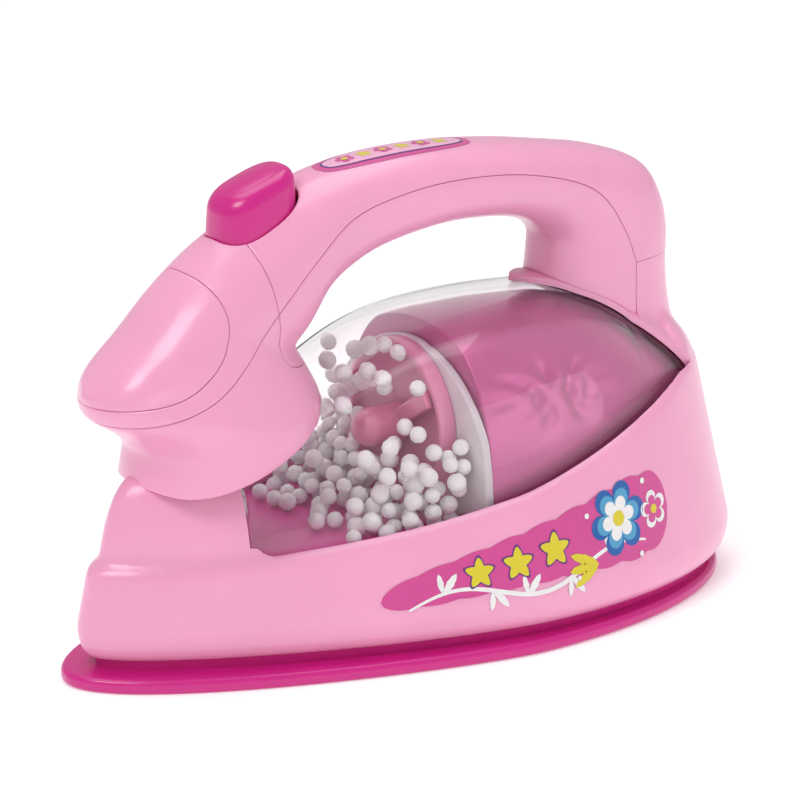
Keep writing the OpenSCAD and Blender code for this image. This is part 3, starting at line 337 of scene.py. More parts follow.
def handle_ring(row, points=72, grow=0.0):
    """The section across the head or the handle that a row gives."""
    top = Vector((row[0] * OVERALL, row[1] * HANDLE_TOP))
    low = Vector((row[2] * OVERALL, row[3] * HANDLE_TOP))
    mid, arm = (top + low) / 2, (top - low) / 2
    arm = arm * (1 + grow / arm.length)
    ring = []
    for i in range(points + 1):
        a = -2 * math.pi * (i % points) / points
        c, w = signed_pow(math.cos(a), row[5]), signed_pow(math.sin(a), row[5])
        ring.append((mid.x + arm.x * c, (row[4] + grow) * w, mid.y + arm.y * c))
    return ring


def level_ring(z, front, rear, half, power=1.0, points=72):
    """A level oval, squarer with a lower power."""
    ring = []
    for i in range(points + 1):
        a = -math.pi + 2 * math.pi * (i % points) / points
        ring.append(((front + rear) / 2 + (rear - front) / 2 * signed_pow(math.cos(a), power),
                     half * signed_pow(math.sin(a), power), z))
    return ring


# Mesh work

def surface(rows, around_it=False, along_it=False, ends=False):
    """A bmesh from a grid laid over rows of points, closed round each row, along the rows or over the ends."""
    bm = bmesh.new()
    n, m = len(rows[0]), len(rows)
    bm.loops.layers.uv.new("UVMap")
    bmesh.ops.create_grid(bm, x_segments=n - 1, y_segments=m - 1, size=1, calc_uvs=True)
    bm.verts.ensure_lookup_table()
    for k, v in enumerate(bm.verts):
        v.co = place(*rows[k // n][k % n])
    if around_it or along_it:
        bmesh.ops.remove_doubles(bm, verts=bm.verts, dist=1e-7)
    if ends:
        bmesh.ops.holes_fill(bm, edges=[e for e in bm.edges if e.is_boundary], sides=0)
    if around_it or ends:
        bmesh.ops.recalc_face_normals(bm, faces=bm.faces)
    return bm


def solid(rings):
    """A closed bmesh through rings of points."""
    return surface(rings, around_it=True, ends=True)


def smooth_shade(bm, angle=38):
    limit = math.radians(angle)
    for f in bm.faces:
        f.smooth = True
    for e in bm.edges:
        e.smooth = len(e.link_faces) != 2 or e.calc_face_angle(0) < limit


def piece(name, bm, *materials, shade=38):
    """An object from a bmesh, which is used up."""
    if shade:
        smooth_shade(bm, shade)
    mesh = bpy.data.meshes.new(name)
    bm.to_mesh(mesh)
    bm.free()
    for m in materials:
        mesh.materials.append(m)
    obj = bpy.data.objects.new(name, mesh)
    bpy.context.scene.collection.objects.link(obj)
    return obj


def settle(obj):
    """Applies an object's modifiers to its mesh."""
    dg = bpy.context.evaluated_depsgraph_get()
    mesh = bpy.data.meshes.new_from_object(obj.evaluated_get(dg), preserve_all_data_layers=True, depsgraph=dg)
    old = obj.data
    obj.modifiers.clear()
    obj.data = mesh
    bpy.data.meshes.remove(old)
    mesh.name = obj.name


def discard(*objs):
    for o in objs:
        mesh = o.data
        bpy.data.objects.remove(o)
        bpy.data.meshes.remove(mesh)


def carve(obj, cutter, operation="DIFFERENCE"):
    """Cuts a solid; the faces that the cutter leaves keep the cutter's material index."""
    mod = obj.modifiers.new("carve", "BOOLEAN")
    mod.object, mod.operation, mod.solver = cutter, operation, "MANIFOLD"
    mod.material_mode = "INDEX"
    settle(obj)


def cutter_of(bm):
    """A cutting shape whose faces carry the second material index."""
    for f in bm.faces:
        f.material_index = 1
    return piece("cutter", bm, None, None, shade=0)


def side_cutter(shares):
    """A slab across the width, cut to an outline in the side view."""
    pts = []
    for a, b in shares:
        p = place(a * OVERALL, -BESIDE, b * HANDLE_TOP)
        if not pts or (p - pts[-1]).length > 1e-6:
            pts.append(p)
    if (pts[0] - pts[-1]).length < 1e-6:
        pts.pop()
    bm = bmesh.new()
    verts = [bm.verts.new(p) for p in pts]
    ring = [bm.edges.new((a, b)) for a, b in zip(verts, verts[1:] + verts[:1])]
    face = bmesh.ops.edgeloop_fill(bm, edges=ring)["faces"]
    out = bmesh.ops.extrude_face_region(bm, geom=face)["geom"]
    far = [g for g in out if isinstance(g, bmesh.types.BMVert)]
    bmesh.ops.translate(bm, verts=far, vec=(0, 2 * BESIDE * MM, 0))
    bmesh.ops.recalc_face_normals(bm, faces=bm.faces)
    return cutter_of(bm)


def box_cutter(low, high):
    bm = bmesh.new()
    a, b = place(*low), place(*high)
    bmesh.ops.create_cube(bm, size=1)
    bmesh.ops.scale(bm, vec=b - a, verts=bm.verts)
    bmesh.ops.translate(bm, vec=(a + b) / 2, verts=bm.verts)
    return cutter_of(bm)


def round_cutter(at, radius, length, along=False, segments=40):
    """A cylinder round a place, upright or along the iron."""
    bm = bmesh.new()
    bmesh.ops.create_cone(bm, cap_ends=True, segments=segments, radius1=radius * MM, radius2=radius * MM,
                          depth=length * MM)
    if along:
        bmesh.ops.rotate(bm, cent=(0, 0, 0), matrix=Matrix.Rotation(math.pi / 2, 3, "Y"), verts=bm.verts)
    bmesh.ops.translate(bm, vec=place(*at), verts=bm.verts)
    return cutter_of(bm)


def copy_of(obj, name):
    """A second object with its own copy of a mesh."""
    mesh = obj.data.copy()
    mesh.name = name
    twin = bpy.data.objects.new(name, mesh)
    bpy.context.scene.collection.objects.link(twin)
    return twin


def tidy_rim(bm, rim, reach):
    """Merges points that crowd a cut line onto it, so that its edge can be rounded evenly."""
    bmesh.ops.remove_doubles(bm, verts=rim(), dist=0.4 * reach)
    onto = bmesh.ops.find_doubles(bm, verts=bm.verts, keep_verts=rim(), dist=reach)["targetmap"]
    bmesh.ops.weld_verts(bm, targetmap=onto)
    bmesh.ops.dissolve_degenerate(bm, edges=bm.edges, dist=1e-7)
    bmesh.ops.triangulate(bm, faces=[f for f in bm.faces if len(f.verts) > 4])


def rim_frames(bm, form):
    """For each point on the open edges: its place, the form's outward direction and the way in along the surface."""
    ways = {v: Vector() for v in bm.verts if v.is_boundary}
    for e in bm.edges:
        if e.is_boundary:
            loop = e.link_loops[0]
            a, b = loop.vert, loop.link_loop_next.vert
            inward = form.find_nearest((a.co + b.co) / 2)[1].cross(b.co - a.co)
            ways[a] += inward
            ways[b] += inward
    near = {v: [e.other_vert(v) for e in v.link_edges if e.is_boundary] for v in ways}
    for _ in range(5):
        ways = {v: ways[v] + sum((ways[u] for u in near[v]), Vector()) / 2 for v in ways}
    frames = {}
    for v, way in ways.items():
        normal = form.find_nearest(v.co)[1]
        way = way - normal * way.dot(normal)
        frames[v] = (v.co.copy(), normal, way.normalized())
    return frames


def shell_from(obj, form, wall, edge, quiet):
    """Turns a cut solid into a shell: the cut faces go, the wall is laid inwards and its rims are rolled in."""
    bm = bmesh.new()
    bm.from_mesh(obj.data)
    bmesh.ops.delete(bm, geom=[f for f in bm.faces if f.material_index == 1], context="FACES")
    bmesh.ops.delete(bm, geom=[v for v in bm.verts if not v.link_faces], context="VERTS")
    tidy_rim(bm, lambda: [v for v in bm.verts if v.is_boundary], edge * MM)
    bm.normal_update()
    rim = rim_frames(bm, form)
    size = {v: edge * MM * (0.15 if quiet.find_nearest(v.co)[3] < 0.4 * MM else 1) for v in rim}
    lines = [e for e in bm.edges if e.is_boundary]
    outer = {v: rim[v][1] if v in rim else v.normal.copy() for v in bm.verts}
    made = bmesh.ops.duplicate(bm, geom=bm.verts[:] + bm.edges[:] + bm.faces[:])
    twin = made["vert_map"]
    for v, normal in outer.items():
        twin[v].co = v.co - normal * wall * MM
    bmesh.ops.reverse_faces(bm, faces=[g for g in made["geom"] if isinstance(g, bmesh.types.BMFace)])
    last = {v: v for v in rim}
    for along, down in ((0.3, 0.3), (0.05, 1.0), (0.05, 0.0)):
        geom = bmesh.ops.extrude_edge_only(bm, edges=lines)["geom"]
        fresh = {g for g in geom if isinstance(g, bmesh.types.BMVert)}
        lines = [g for g in geom if isinstance(g, bmesh.types.BMEdge) and g.verts[0] in fresh and g.verts[1] in fresh]
        step = {}
        for start, v in last.items():
            for e in v.link_edges:
                if e.other_vert(v) in fresh:
                    step[start] = e.other_vert(v)
        for start, v in step.items():
            at, normal, way = rim[start]
            v.co = at + (way * along - normal * down) * size[start] if down else twin[start].co
        last = step
    for start, (at, normal, way) in rim.items():
        start.co = at + way * size[start]
    bmesh.ops.remove_doubles(bm, verts=list(last.values()) + [twin[v] for v in rim], dist=1e-7)
    bmesh.ops.recalc_face_normals(bm, faces=bm.faces)
    one_finish(obj, bm)


def one_finish(obj, bm, angle=42):
    """Gives a mesh back to its object with the first of its materials all over."""
    for f in bm.faces:
        f.material_index = 0
    smooth_shade(bm, angle)
    bm.to_mesh(obj.data)
    bm.free()
    while len(obj.data.materials) > 1:
        obj.data.materials.pop()


def round_cuts(obj, edge, quiet):
    """Rounds the edges that the cutting shapes left on a solid."""
    bm = bmesh.new()
    bm.from_mesh(obj.data)
    on_cut = lambda: [v for v in bm.verts if len({f.material_index for f in v.link_faces}) == 2]
    tidy_rim(bm, on_cut, 0.9 * edge * MM)
    bm.normal_update()
    sharp = [e for e in bm.edges if len(e.link_faces) == 2 and e.calc_face_angle(0) > math.radians(35)
             and len({f.material_index for f in e.link_faces}) == 2
             and quiet.find_nearest((e.verts[0].co + e.verts[1].co) / 2)[3] > 0.3 * MM]
    bmesh.ops.bevel(bm, geom=sharp, offset=edge * MM, offset_type="OFFSET", segments=3, profile=0.5,
                    affect="EDGES", material=-1, clamp_overlap=True, loop_slide=True)
    one_finish(obj, bm)


def round_edges(obj, width, angle=50, segments=3):
    """Rounds every edge sharper than an angle."""
    mod = obj.modifiers.new("edge", "BEVEL")
    mod.width, mod.segments, mod.limit_method = width * MM, segments, "ANGLE"
    mod.angle_limit = math.radians(angle)
    mod.use_clamp_overlap = True
    mod.harden_normals = False
    settle(obj)
    bm = bmesh.new()
    bm.from_mesh(obj.data)
    one_finish(obj, bm)


def remould(obj, voxel, rounds=10, factor=0.5):
    """Fuses overlapping solids into one even skin and softens where they meet."""
    mod = obj.modifiers.new("fuse", "REMESH")
    mod.mode, mod.voxel_size, mod.use_smooth_shade = "VOXEL", voxel * MM, True
    mod = obj.modifiers.new("soften", "SMOOTH")
    mod.factor, mod.iterations = factor, rounds
    settle(obj)


def join_into(obj, *others):
    """Adds the meshes of other objects to one and discards those."""
    bm = bmesh.new()
    bm.from_mesh(obj.data)
    for o in others:
        bm.from_mesh(o.data)
    bm.to_mesh(obj.data)
    bm.free()
    discard(*others)


def merged_copy(node):
    """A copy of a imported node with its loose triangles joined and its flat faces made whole."""
    bm = bmesh.new()
    bm.from_mesh(frame["nodes"][node].data)
    bmesh.ops.remove_doubles(bm, verts=bm.verts, dist=2e-7)
    bmesh.ops.dissolve_limit(bm, angle_limit=math.radians(0.5), verts=bm.verts, edges=bm.edges)
    return bm


def dress(obj, body, slot, *nodes):
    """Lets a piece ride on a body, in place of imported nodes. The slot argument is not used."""
    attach(obj, body)
    if nodes:
        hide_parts(*nodes)
    return obj


# Finishes

def tune(node, **values):
    """Sets inputs of a node, named with underscores for spaces."""
    for name, value in values.items():
        node.inputs[name.replace("_", " ")].default_value = value


def new_material(name, colour, roughness, **values):
    m = bpy.data.materials.new(name)
    m.use_nodes = True
    tune(m.node_tree.nodes["Principled BSDF"], Base_Color=(*colour, 1), Roughness=roughness, **values)
    return m


def mottle(m, colour, amount, scale, detail=3.0):
    """Lays a faint cloudy change of depth over a colour."""
    nodes, links = m.node_tree.nodes, m.node_tree.links
    shader = nodes["Principled BSDF"]
    where = nodes.new("ShaderNodeTexCoord")
    cloud = nodes.new("ShaderNodeTexNoise")
    tune(cloud, Scale=scale, Detail=detail)
    ramp = nodes.new("ShaderNodeValToRGB")
    ramp.color_ramp.elements[0].position, ramp.color_ramp.elements[1].position = 0.3, 0.7
    ramp.color_ramp.elements[0].color = (*[c * (1 - amount) for c in colour], 1)
    ramp.color_ramp.elements[1].color = (*[min(c * (1 + amount * 0.5), 1) for c in colour], 1)
    links.new(where.outputs["Object"], cloud.inputs["Vector"])
    links.new(cloud.outputs["Fac"], ramp.inputs["Fac"])
    links.new(ramp.outputs["Color"], shader.inputs["Base Color"])
    return where


def grain(m, where, scale, strength, distance, rough=None):
    """Fine unevenness of a moulded skin, and of its gloss where a range is given."""
    nodes, links = m.node_tree.nodes, m.node_tree.links
    shader = nodes["Principled BSDF"]
    fine = nodes.new("ShaderNodeTexNoise")
    tune(fine, Scale=scale, Detail=2)
    bump = nodes.new("ShaderNodeBump")
    tune(bump, Strength=strength, Distance=distance)
    links.new(where.outputs["Object"], fine.inputs["Vector"])
    links.new(fine.outputs["Fac"], bump.inputs["Height"])
    links.new(bump.outputs["Normal"], shader.inputs["Normal"])
    if rough:
        spread = nodes.new("ShaderNodeMapRange")
        tune(spread, To_Min=rough[0], To_Max=rough[1])
        links.new(fine.outputs["Fac"], spread.inputs["Value"])
        links.new(spread.outputs["Result"], shader.inputs["Roughness"])


def moulded(name, colour, roughness, coat=0.0, glow=0.0):
    m = new_material(name, colour, roughness, Coat_Weight=coat, Coat_Roughness=0.08)
    if glow:
        tune(m.node_tree.nodes["Principled BSDF"], Subsurface_Weight=glow, Subsurface_Radius=(1.0, 0.45, 0.55),
             Subsurface_Scale=0.004)
    grain(m, mottle(m, colour, 0.035, 60), 260, 0.02, 0.00002, (roughness - 0.03, roughness + 0.03))
    return m


def clear_plastic(name, tint, roughness=0.03, through=1.0):
    m = new_material(name, tint, roughness, Transmission_Weight=through, IOR=1.38)
    grain(m, mottle(m, tint, 0.01, 40), 90, 0.05, 0.00006)
    return m


def pearl(name, colour):
    m = new_material(name, colour, 0.3, Metallic=0.25, Coat_Weight=0.3, Coat_Roughness=0.35, Sheen_Weight=0.3)
    grain(m, mottle(m, colour, 0.06, 120, 2.0), 260, 0.02, 0.00002, (0.3, 0.38))
    return m


def foam(name, colour):
    m = new_material(name, colour, 0.7, Subsurface_Weight=0.25, Subsurface_Radius=(1.0, 0.85, 0.88),
                     Subsurface_Scale=0.0015)
    nodes, links = m.node_tree.nodes, m.node_tree.links
    where = mottle(m, colour, 0.05, 500)
    cells = nodes.new("ShaderNodeTexVoronoi")
    cells.feature = "F1"
    tune(cells, Scale=1500)
    bump = nodes.new("ShaderNodeBump")
    tune(bump, Strength=0.35, Distance=0.00012)
    links.new(where.outputs["Object"], cells.inputs["Vector"])
    links.new(cells.outputs["Distance"], bump.inputs["Height"])
    links.new(bump.outputs["Normal"], nodes["Principled BSDF"].inputs["Normal"])
    return m


def metal(name, colour, roughness, metallic=1.0):
    m = new_material(name, colour, roughness, Metallic=metallic)
    grain(m, mottle(m, colour, 0.06, 300), 900, 0.2, 0.00003, (roughness - 0.06, roughness + 0.08))
    return m


def printed(name, colour):
    m = new_material(name, colour, 0.32, Coat_Weight=0.3, Coat_Roughness=0.15)
    grain(m, mottle(m, colour, 0.03, 700, 1.0), 1200, 0.08, 0.00002)
    return m


FINISHES = {}
INKS = ("print_magenta", "print_white", "print_blue", "print_yellow", "print_sky", "print_purple", "print_pale")
MAGENTA, WHITE, BLUE, YELLOW, SKY, PURPLE, PALE = range(len(INKS))


def finish_of(name):
    """The finish of that name, made on first use from the colours in the sidebar."""
    if name in FINISHES:
        return FINISHES[name]
    c = bpy.context.scene.iron_colours
    make = {
        "pink": lambda: moulded("pink_plastic", c.pink, 0.3, 0.25, 0.12),
        "magenta": lambda: moulded("magenta_plastic", c.magenta, 0.26, 0.15),
        # The deck's finish is the magenta plastic painted brighter: painted light that offsets the shade falling on the
        # deck under the dome
        "deck": lambda: moulded("deck_magenta_brightened_for_shade", c.deck, 0.4),
        "bulkhead": lambda: moulded("bulkhead_plastic", c.bulkhead, 0.3, 0.2, 0.2),
        "stirrer": lambda: moulded("stirrer_plastic", c.stirrer, 0.22, 0.4, 0.2),
        "white": lambda: moulded("white_plastic", (0.8, 0.79, 0.76), 0.45),
        "dark": lambda: moulded("dark_plastic", (0.035, 0.035, 0.04), 0.5),
        "clear": lambda: clear_plastic("clear_plastic", c.clear),
        "frosted": lambda: clear_plastic("frosted_plastic", c.frosted, 0.2, 0.3),
        "pearl": lambda: pearl("pearl_plastic", c.pearl),
        "foam": lambda: foam("bead_foam", c.foam),
        "steel": lambda: metal("spring_steel", (0.6, 0.61, 0.63), 0.28),
        "zinc": lambda: metal("motor_steel", (0.5, 0.51, 0.53), 0.38),
        "brass": lambda: metal("contact_brass", (0.75, 0.52, 0.2), 0.3),
        "wrap": lambda: metal("battery_wrap", (0.6, 0.3, 0.07), 0.35, 0.6),
        "print_magenta": lambda: printed("print_magenta", c.print_magenta),
        "print_blue": lambda: printed("print_blue", (0.005, 0.1, 0.38)),
        "print_sky": lambda: printed("print_sky", (0.07, 0.33, 0.56)),
        "print_yellow": lambda: printed("print_yellow", (0.69, 0.58, 0.02)),
        "print_white": lambda: printed("print_white", (0.82, 0.8, 0.8)),
        "print_purple": lambda: printed("print_purple", (0.12, 0.03, 0.2)),
        "print_pale": lambda: printed("print_pale", (0.85, 0.42, 0.62)),
    }
    FINISHES[name] = make[name]()
    return FINISHES[name]


def size_prop(name, what, default, low, high):
    return bpy.props.FloatProperty(name=name, description=what + ", in millimetres", default=default, min=low, max=high)


class IronSizes(bpy.types.PropertyGroup):
    """Sizes of the seams and of the finer surface work"""
    seam: size_prop("Seam", "Width of the rounding at the shells' seams", 0.32, 0.1, 0.6)
    body_grid: size_prop("Body grid", "Size of the body's surface faces", 0.8, 0.6, 2.0)
    neck_grid: size_prop("Neck grid", "Size of the neck's surface faces", 0.6, 0.5, 2.0)
    fold_depth: size_prop("Fold depth", "Depth of the folds of the inner cover", 1.0, 0.0, 1.2)


def colour_prop(name, default):
    return bpy.props.FloatVectorProperty(name=name, description="Colour of the " + name.lower(), subtype="COLOR",
                                         default=default, min=0, max=1)


class IronColours(bpy.types.PropertyGroup):
    """Colours of the plastics, the beads, the sticker's ground and the floor"""
    pink: colour_prop("Shells", (0.855, 0.355, 0.55))
    magenta: colour_prop("Sole and button", (0.6, 0.012, 0.225))
    # Deck: the magenta plastic's colour painted brighter to offset the shade that falls on it
    deck: colour_prop("Deck", (0.8, 0.07, 0.38))
    bulkhead: colour_prop("Bulkhead", (0.8, 0.3, 0.47))
    stirrer: colour_prop("Stirrer", (0.8, 0.27, 0.42))
    clear: colour_prop("Clear parts", (0.985, 0.955, 0.97))
    frosted: colour_prop("Clear arch", (1.0, 0.93, 0.97))
    pearl: colour_prop("Inner cover", (0.56, 0.09, 0.29))
    foam: colour_prop("Beads", (0.99, 0.97, 0.98))
    print_magenta: colour_prop("Sticker ground", (0.62, 0.06, 0.28))
    floor: colour_prop("Floor", (0.86, 0.86, 0.86))


# Pieces

def closed_dome(inset):
    """The space under the dome, as rings closed across the foot, for cutting."""
    rows = []
    for i in range(61):
        s = mix(DOME_FRONT, DOME_REAR, i / 60)
        arc = dome_arc(s, inset)
        rows.append(arc + [arc[0]])
    return cutter_of(solid(rows))


def node_cutter(node, spare, height):
    """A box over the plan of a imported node, with spare room all round, from below the sole up to a height."""
    low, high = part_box(node)
    return box_cutter((behind_nose(low.x) - spare, low.y / MM - spare, -1),
                      (behind_nose(high.x) + spare, high.y / MM + spare, height))


class IRON_OT_sole(bpy.types.Operator):
    """Makes the sole plate with its rounded edge, lip, battery opening and screw holes"""
    bl_idname = "iron.sole"
    bl_label = "Sole plate"

    def execute(self, context):
        edge = [(SOLE_EDGE * (1 - math.sin(a)), SOLE_EDGE * (1 - math.cos(a))) for a in turn_steps(15)]
        edge += [(inset, SOLE_T - z) for inset, z in edge[::-1]]
        rings = [around([(*p, z) for p in sole_side(inset)]) for inset, z in edge]
        sole = piece("sole", solid(rings), finish_of("magenta"))
        lip_in = WALL + TUCK / 2 + SEAT
        section = [(LIP_FOOT, 0), (LIP_TOP, 0), (LIP_TOP, LIP_T), (LIP_FOOT, LIP_T), (LIP_FOOT, 0)]
        rings = [body_ring(z, lip_in + inset) for z, inset in section]
        lip = piece("lip", surface(rings, around_it=True, along_it=True))
        opening = [node_cutter("battery_door", DOOR_ROOM, DOOR_RECESS),
                   node_cutter("battery_box", -BOX_LEDGE, BOX_OPENING)]
        for at in SCREWS:
            opening += [round_cutter((*at, 0), SCREW_HEAD_R, SCREW_HEAD_H),
                        round_cutter((*at, 0), SCREW_BORE_R, SCREW_BORE_H)]
        for c in opening:
            carve(sole, c)
        post = round_cutter((DOOR_SCREW, 0, POST_MIDDLE), POST_R, POST_H)
        bore = round_cutter((DOOR_SCREW, 0, POST_MIDDLE), PILOT_R, PILOT_H)
        carve(post, bore)
        carve(sole, bore)
        join_into(sole, lip, post)
        discard(*opening, bore)
        bm = bmesh.new()
        bm.from_mesh(sole.data)
        one_finish(sole, bm, 38)
        dress(sole, "iron", "magenta_plastic", "sole_plate")
        return {"FINISHED"}


def leg_rings(inset=0.0):
    """Level rings of the rear leg, kept inside the skirt where they are below its rim."""
    rings = []
    for z, f, r, w in smooth_rows(LEG, 4):
        ring = level_ring(z * HANDLE_TOP, f * OVERALL + inset, r * OVERALL - inset, w * HANDLE_W / 2 - inset,
                          LEG_SQUARE)
        if z * HANDLE_TOP < rim_z(0.92 * OVERALL) + 1:
            ring = [(s, math.copysign(min(abs(y), max(rim_half(s) - inset - 0.5, 0.1)), y), h) for s, y, h in ring]
        rings.append(ring)
    return rings


def leg_and_hood():
    """The rear leg and the block that the hood is cut from."""
    leg = piece("leg", solid(leg_rings()))
    rows = []
    for i in range(49):
        s = mix(HOOD_TIP - 0.6, HOOD_REAR, i / 48)
        w = min(row_value(HOOD_EDGE, s) + 1.6, rim_half(s) - 1.2)
        top = [(s, w * k / 14, roof_z(s, w * k / 14, -HOOD_T)) for k in range(-14, 15)]
        rows.append(top + [(s, y, z - 7) for s, y, z in top[::-1]] + [top[0]])
    return leg, piece("hood", solid(rows))


def pedestal_rings(foot, drop=0.0):
    """Rings of the pedestal under the neck, which rises steeper and steeper from a level foot."""
    ledge = RIM_R + PEDESTAL_LEDGE + drop
    curve = smooth_rows([[0, 0], [0.55, 0.008], [0.8, 0.037], [0.94, 0.085], [1, 0.147]], 6)
    return [body_ring(foot, ledge)] + [body_ring(mix(RIM_FRONT, PEDESTAL_TOP, up) - drop, ledge + inset * NECK_W)
                                       for up, inset in curve]


def window_cutter(side):
    """The opening between the rim and the hood's edge on one side."""
    rows = []
    s = PEDESTAL_REAR
    while s < WINDOW_END:
        edge = row_value(HOOD_EDGE, s) if s > HOOD_TIP else -0.5
        rim = rim_half(s) - WALL + WINDOW_EDGE
        if rim - edge < 0.25:
            break
        low = rim_z(s) - 4
        corners = ((edge, low), (rim, low), (rim, OVER_BODY), (edge, OVER_BODY), (edge, low))
        rows.append([(s, side * y, z) for y, z in corners])
        s += 0.75
    return cutter_of(solid(rows))


class IRON_OT_body(bpy.types.Operator):
    """Makes the skirt, the pedestal, the rear leg and the hood as one moulded body"""
    bl_idname = "iron.body"
    bl_label = "Body"

    def execute(self, context):
        sizes = context.scene.iron_sizes
        rings = [body_ring(BELLY_Z - (BELLY_Z - SKIRT_Z) * math.cos(a), TUCK * (1 - math.sin(a)))
                 for a in turn_steps(9)]
        rings += [rim_ring(RIM_R * (1 - math.sin(a)), RIM_R * (1 - math.cos(a))) for a in turn_steps(18)]
        body = piece("body", solid(rings), finish_of("pink"), None)
        pedestal = piece("pedestal", solid(pedestal_rings(RIM_FRONT - WALL)), None, None)
        floor = piece("floor", solid([body_ring(z, WALL / 2) for z in (RIM_FRONT - WALL, RIM_FRONT)]), None, None)
        behind = box_cutter((PEDESTAL_REAR + 3, -BESIDE, 0), (BEHIND, BESIDE, OVER_BODY))
        for obj in (pedestal, floor):
            carve(obj, behind)
        shoulder = piece("shoulder", solid([body_ring(RIM_REAR + z, inset) for z, inset in smooth_rows(SHOULDER, 3)]),
                         None, None)
        front = box_cutter((AHEAD, -BESIDE, 0), (SHOULDER_FRONT, BESIDE, OVER_BODY))
        carve(shoulder, front)
        join_into(body, pedestal, floor, shoulder, *leg_and_hood())
        remould(body, sizes.body_grid)

        skirt = cutter_of(solid([body_ring(SKIRT_Z - 3, WALL + TUCK / 2), body_ring(SKIRT_Z, WALL + TUCK / 2),
                                 body_ring(BELLY_Z, WALL), rim_ring(3.4, WALL + 0.5)]))
        inner = cutter_of(solid(pedestal_rings(RIM_FRONT - WALL - 1, WALL)))
        gap_foot = RIM_FRONT - WALL - 0.5
        gap = box_cutter((PEDESTAL_REAR, -BESIDE, gap_foot), (PEDESTAL_REAR + 9, BESIDE, 60))
        wall_room = cutter_of(solid([body_ring(z, WALL + WINDOW_EDGE) for z in (gap_foot, 44)]))
        carve(gap, wall_room, "INTERSECT")
        rings = leg_rings(LEG_WALL)
        below, over = [[(s, y, z + up) for s, y, z in ring] for ring, up in ((rings[0], -8), (rings[-1], 8))]
        hollow = cutter_of(solid([below, *rings, over]))
        inside, roof = closed_dome(-SEAT), closed_dome(-HOOD_T)
        carve(hollow, roof)
        above = side_cutter(FOOT_LINE + [[1.1, 1.2], [-0.1, 1.2]])
        carve(above, roof)
        quiet = tree_of(roof.name)
        windows = [window_cutter(-1), window_cutter(1)]
        for c in (skirt, inner, gap, inside, *windows, hollow, above):
            carve(body, c)
        discard(behind, front, roof, skirt, inner, gap, wall_room, hollow, inside, above, *windows)
        round_cuts(body, sizes.seam, quiet)
        dress(body, "iron", "pink_plastic", "body_shell")
        return {"FINISHED"}


def button_ring(h, grow, points=56):
    """A squared oval that leans with the handle, at a height over the button's middle."""
    ring = []
    for i in range(points + 1):
        a = -math.pi + 2 * math.pi * (i % points) / points
        x = (BUTTON_LONG + grow) * signed_pow(math.cos(a), BUTTON_SQUARE)
        y = (BUTTON_WIDE + grow) * signed_pow(math.sin(a), BUTTON_SQUARE)
        ring.append((BUTTON_S + x, y, BUTTON_Z + h + x * math.tan(math.radians(BUTTON_TILT))))
    return ring


class IRON_OT_handle(bpy.types.Operator):
    """Makes the neck, the head and the handle as parted shells of one smooth form"""
    bl_idname = "iron.handle"
    bl_label = "Neck, head and handle"

    def execute(self, context):
        sizes = context.scene.iron_sizes
        sections = handle_sections()
        tip = []
        for grow, back in ((-1.7, -0.9), (-1.1, -0.72), (-0.55, -0.42), (-0.2, -0.15)):
            ring = handle_ring(sections[0], grow=grow)
            tip.append([(s + back, y, z + back * 0.15) for s, y, z in ring])
        form = piece("form", solid(tip + [handle_ring(row) for row in sections]), finish_of("pink"), None)
        bulge = piece("bulge", solid([level_ring(z * HANDLE_TOP, f * OVERALL, r * OVERALL, w * NECK_W / 2)
                                      for z, f, r, w in smooth_rows(NECK, 4)]))
        join_into(form, bulge, piece("leg", solid(leg_rings())))
        remould(form, sizes.neck_grid)
        tree = tree_of("form")

        head_line, front_seam, neck_seam = (smooth_rows(HEAD_LINE, 5), smooth_rows(FRONT_SEAM, 5),
                                            smooth_rows(NECK_SEAM, 4))
        visor = side_cutter(smooth_rows(VISOR_LINE, 6) + [[-0.1, 1.2]])
        head = side_cutter(head_line + front_seam + [[-0.1, 1.2]])
        cover = side_cutter(smooth_rows(PARTING, 6) + [[1.1, 0.715], [1.1, 1.2]] + front_seam[::-1])
        grip = side_cutter(front_seam[::-1] + neck_seam + LEG_LINE + [[1.1, 1.2]])
        neck = side_cutter(smooth_rows(NECK_LOW, 5) + [[0.5, 0.6]] + neck_seam[::-1] + head_line[::-1])
        opening = cutter_of(solid([button_ring(h, BUTTON_GAP) for h in (-30, 20)]))
        under_hood = closed_dome(-HOOD_T - 0.05)
        under_neck = closed_dome(-SEAT)
        quiet = tree_of(under_hood.name)
        shells = (  # name, node, wall, the outline that it keeps and what is taken from it
            ("beak", "beak_cover", HEAD_WALL, visor, ()),
            ("head", "head_cover", HEAD_WALL, head, (visor, opening)),
            ("handle_top", "handle_cover", HANDLE_WALL, cover, (opening,)),
            ("handle_under", "handle_grip", HANDLE_WALL, grip, (cover, under_hood)),
            ("neck", "neck_shell", HEAD_WALL, neck, (under_neck,)),
        )
        for name, node, wall, outline, taken in shells:
            shell = copy_of(form, name)
            carve(shell, outline, "INTERSECT")
            for cutter in taken:
                carve(shell, cutter)
            shell_from(shell, tree, wall, sizes.seam, quiet)
            dress(shell, "iron", "pink_plastic", node)
        discard(form, visor, head, cover, grip, neck, opening, under_hood, under_neck)
        return {"FINISHED"}


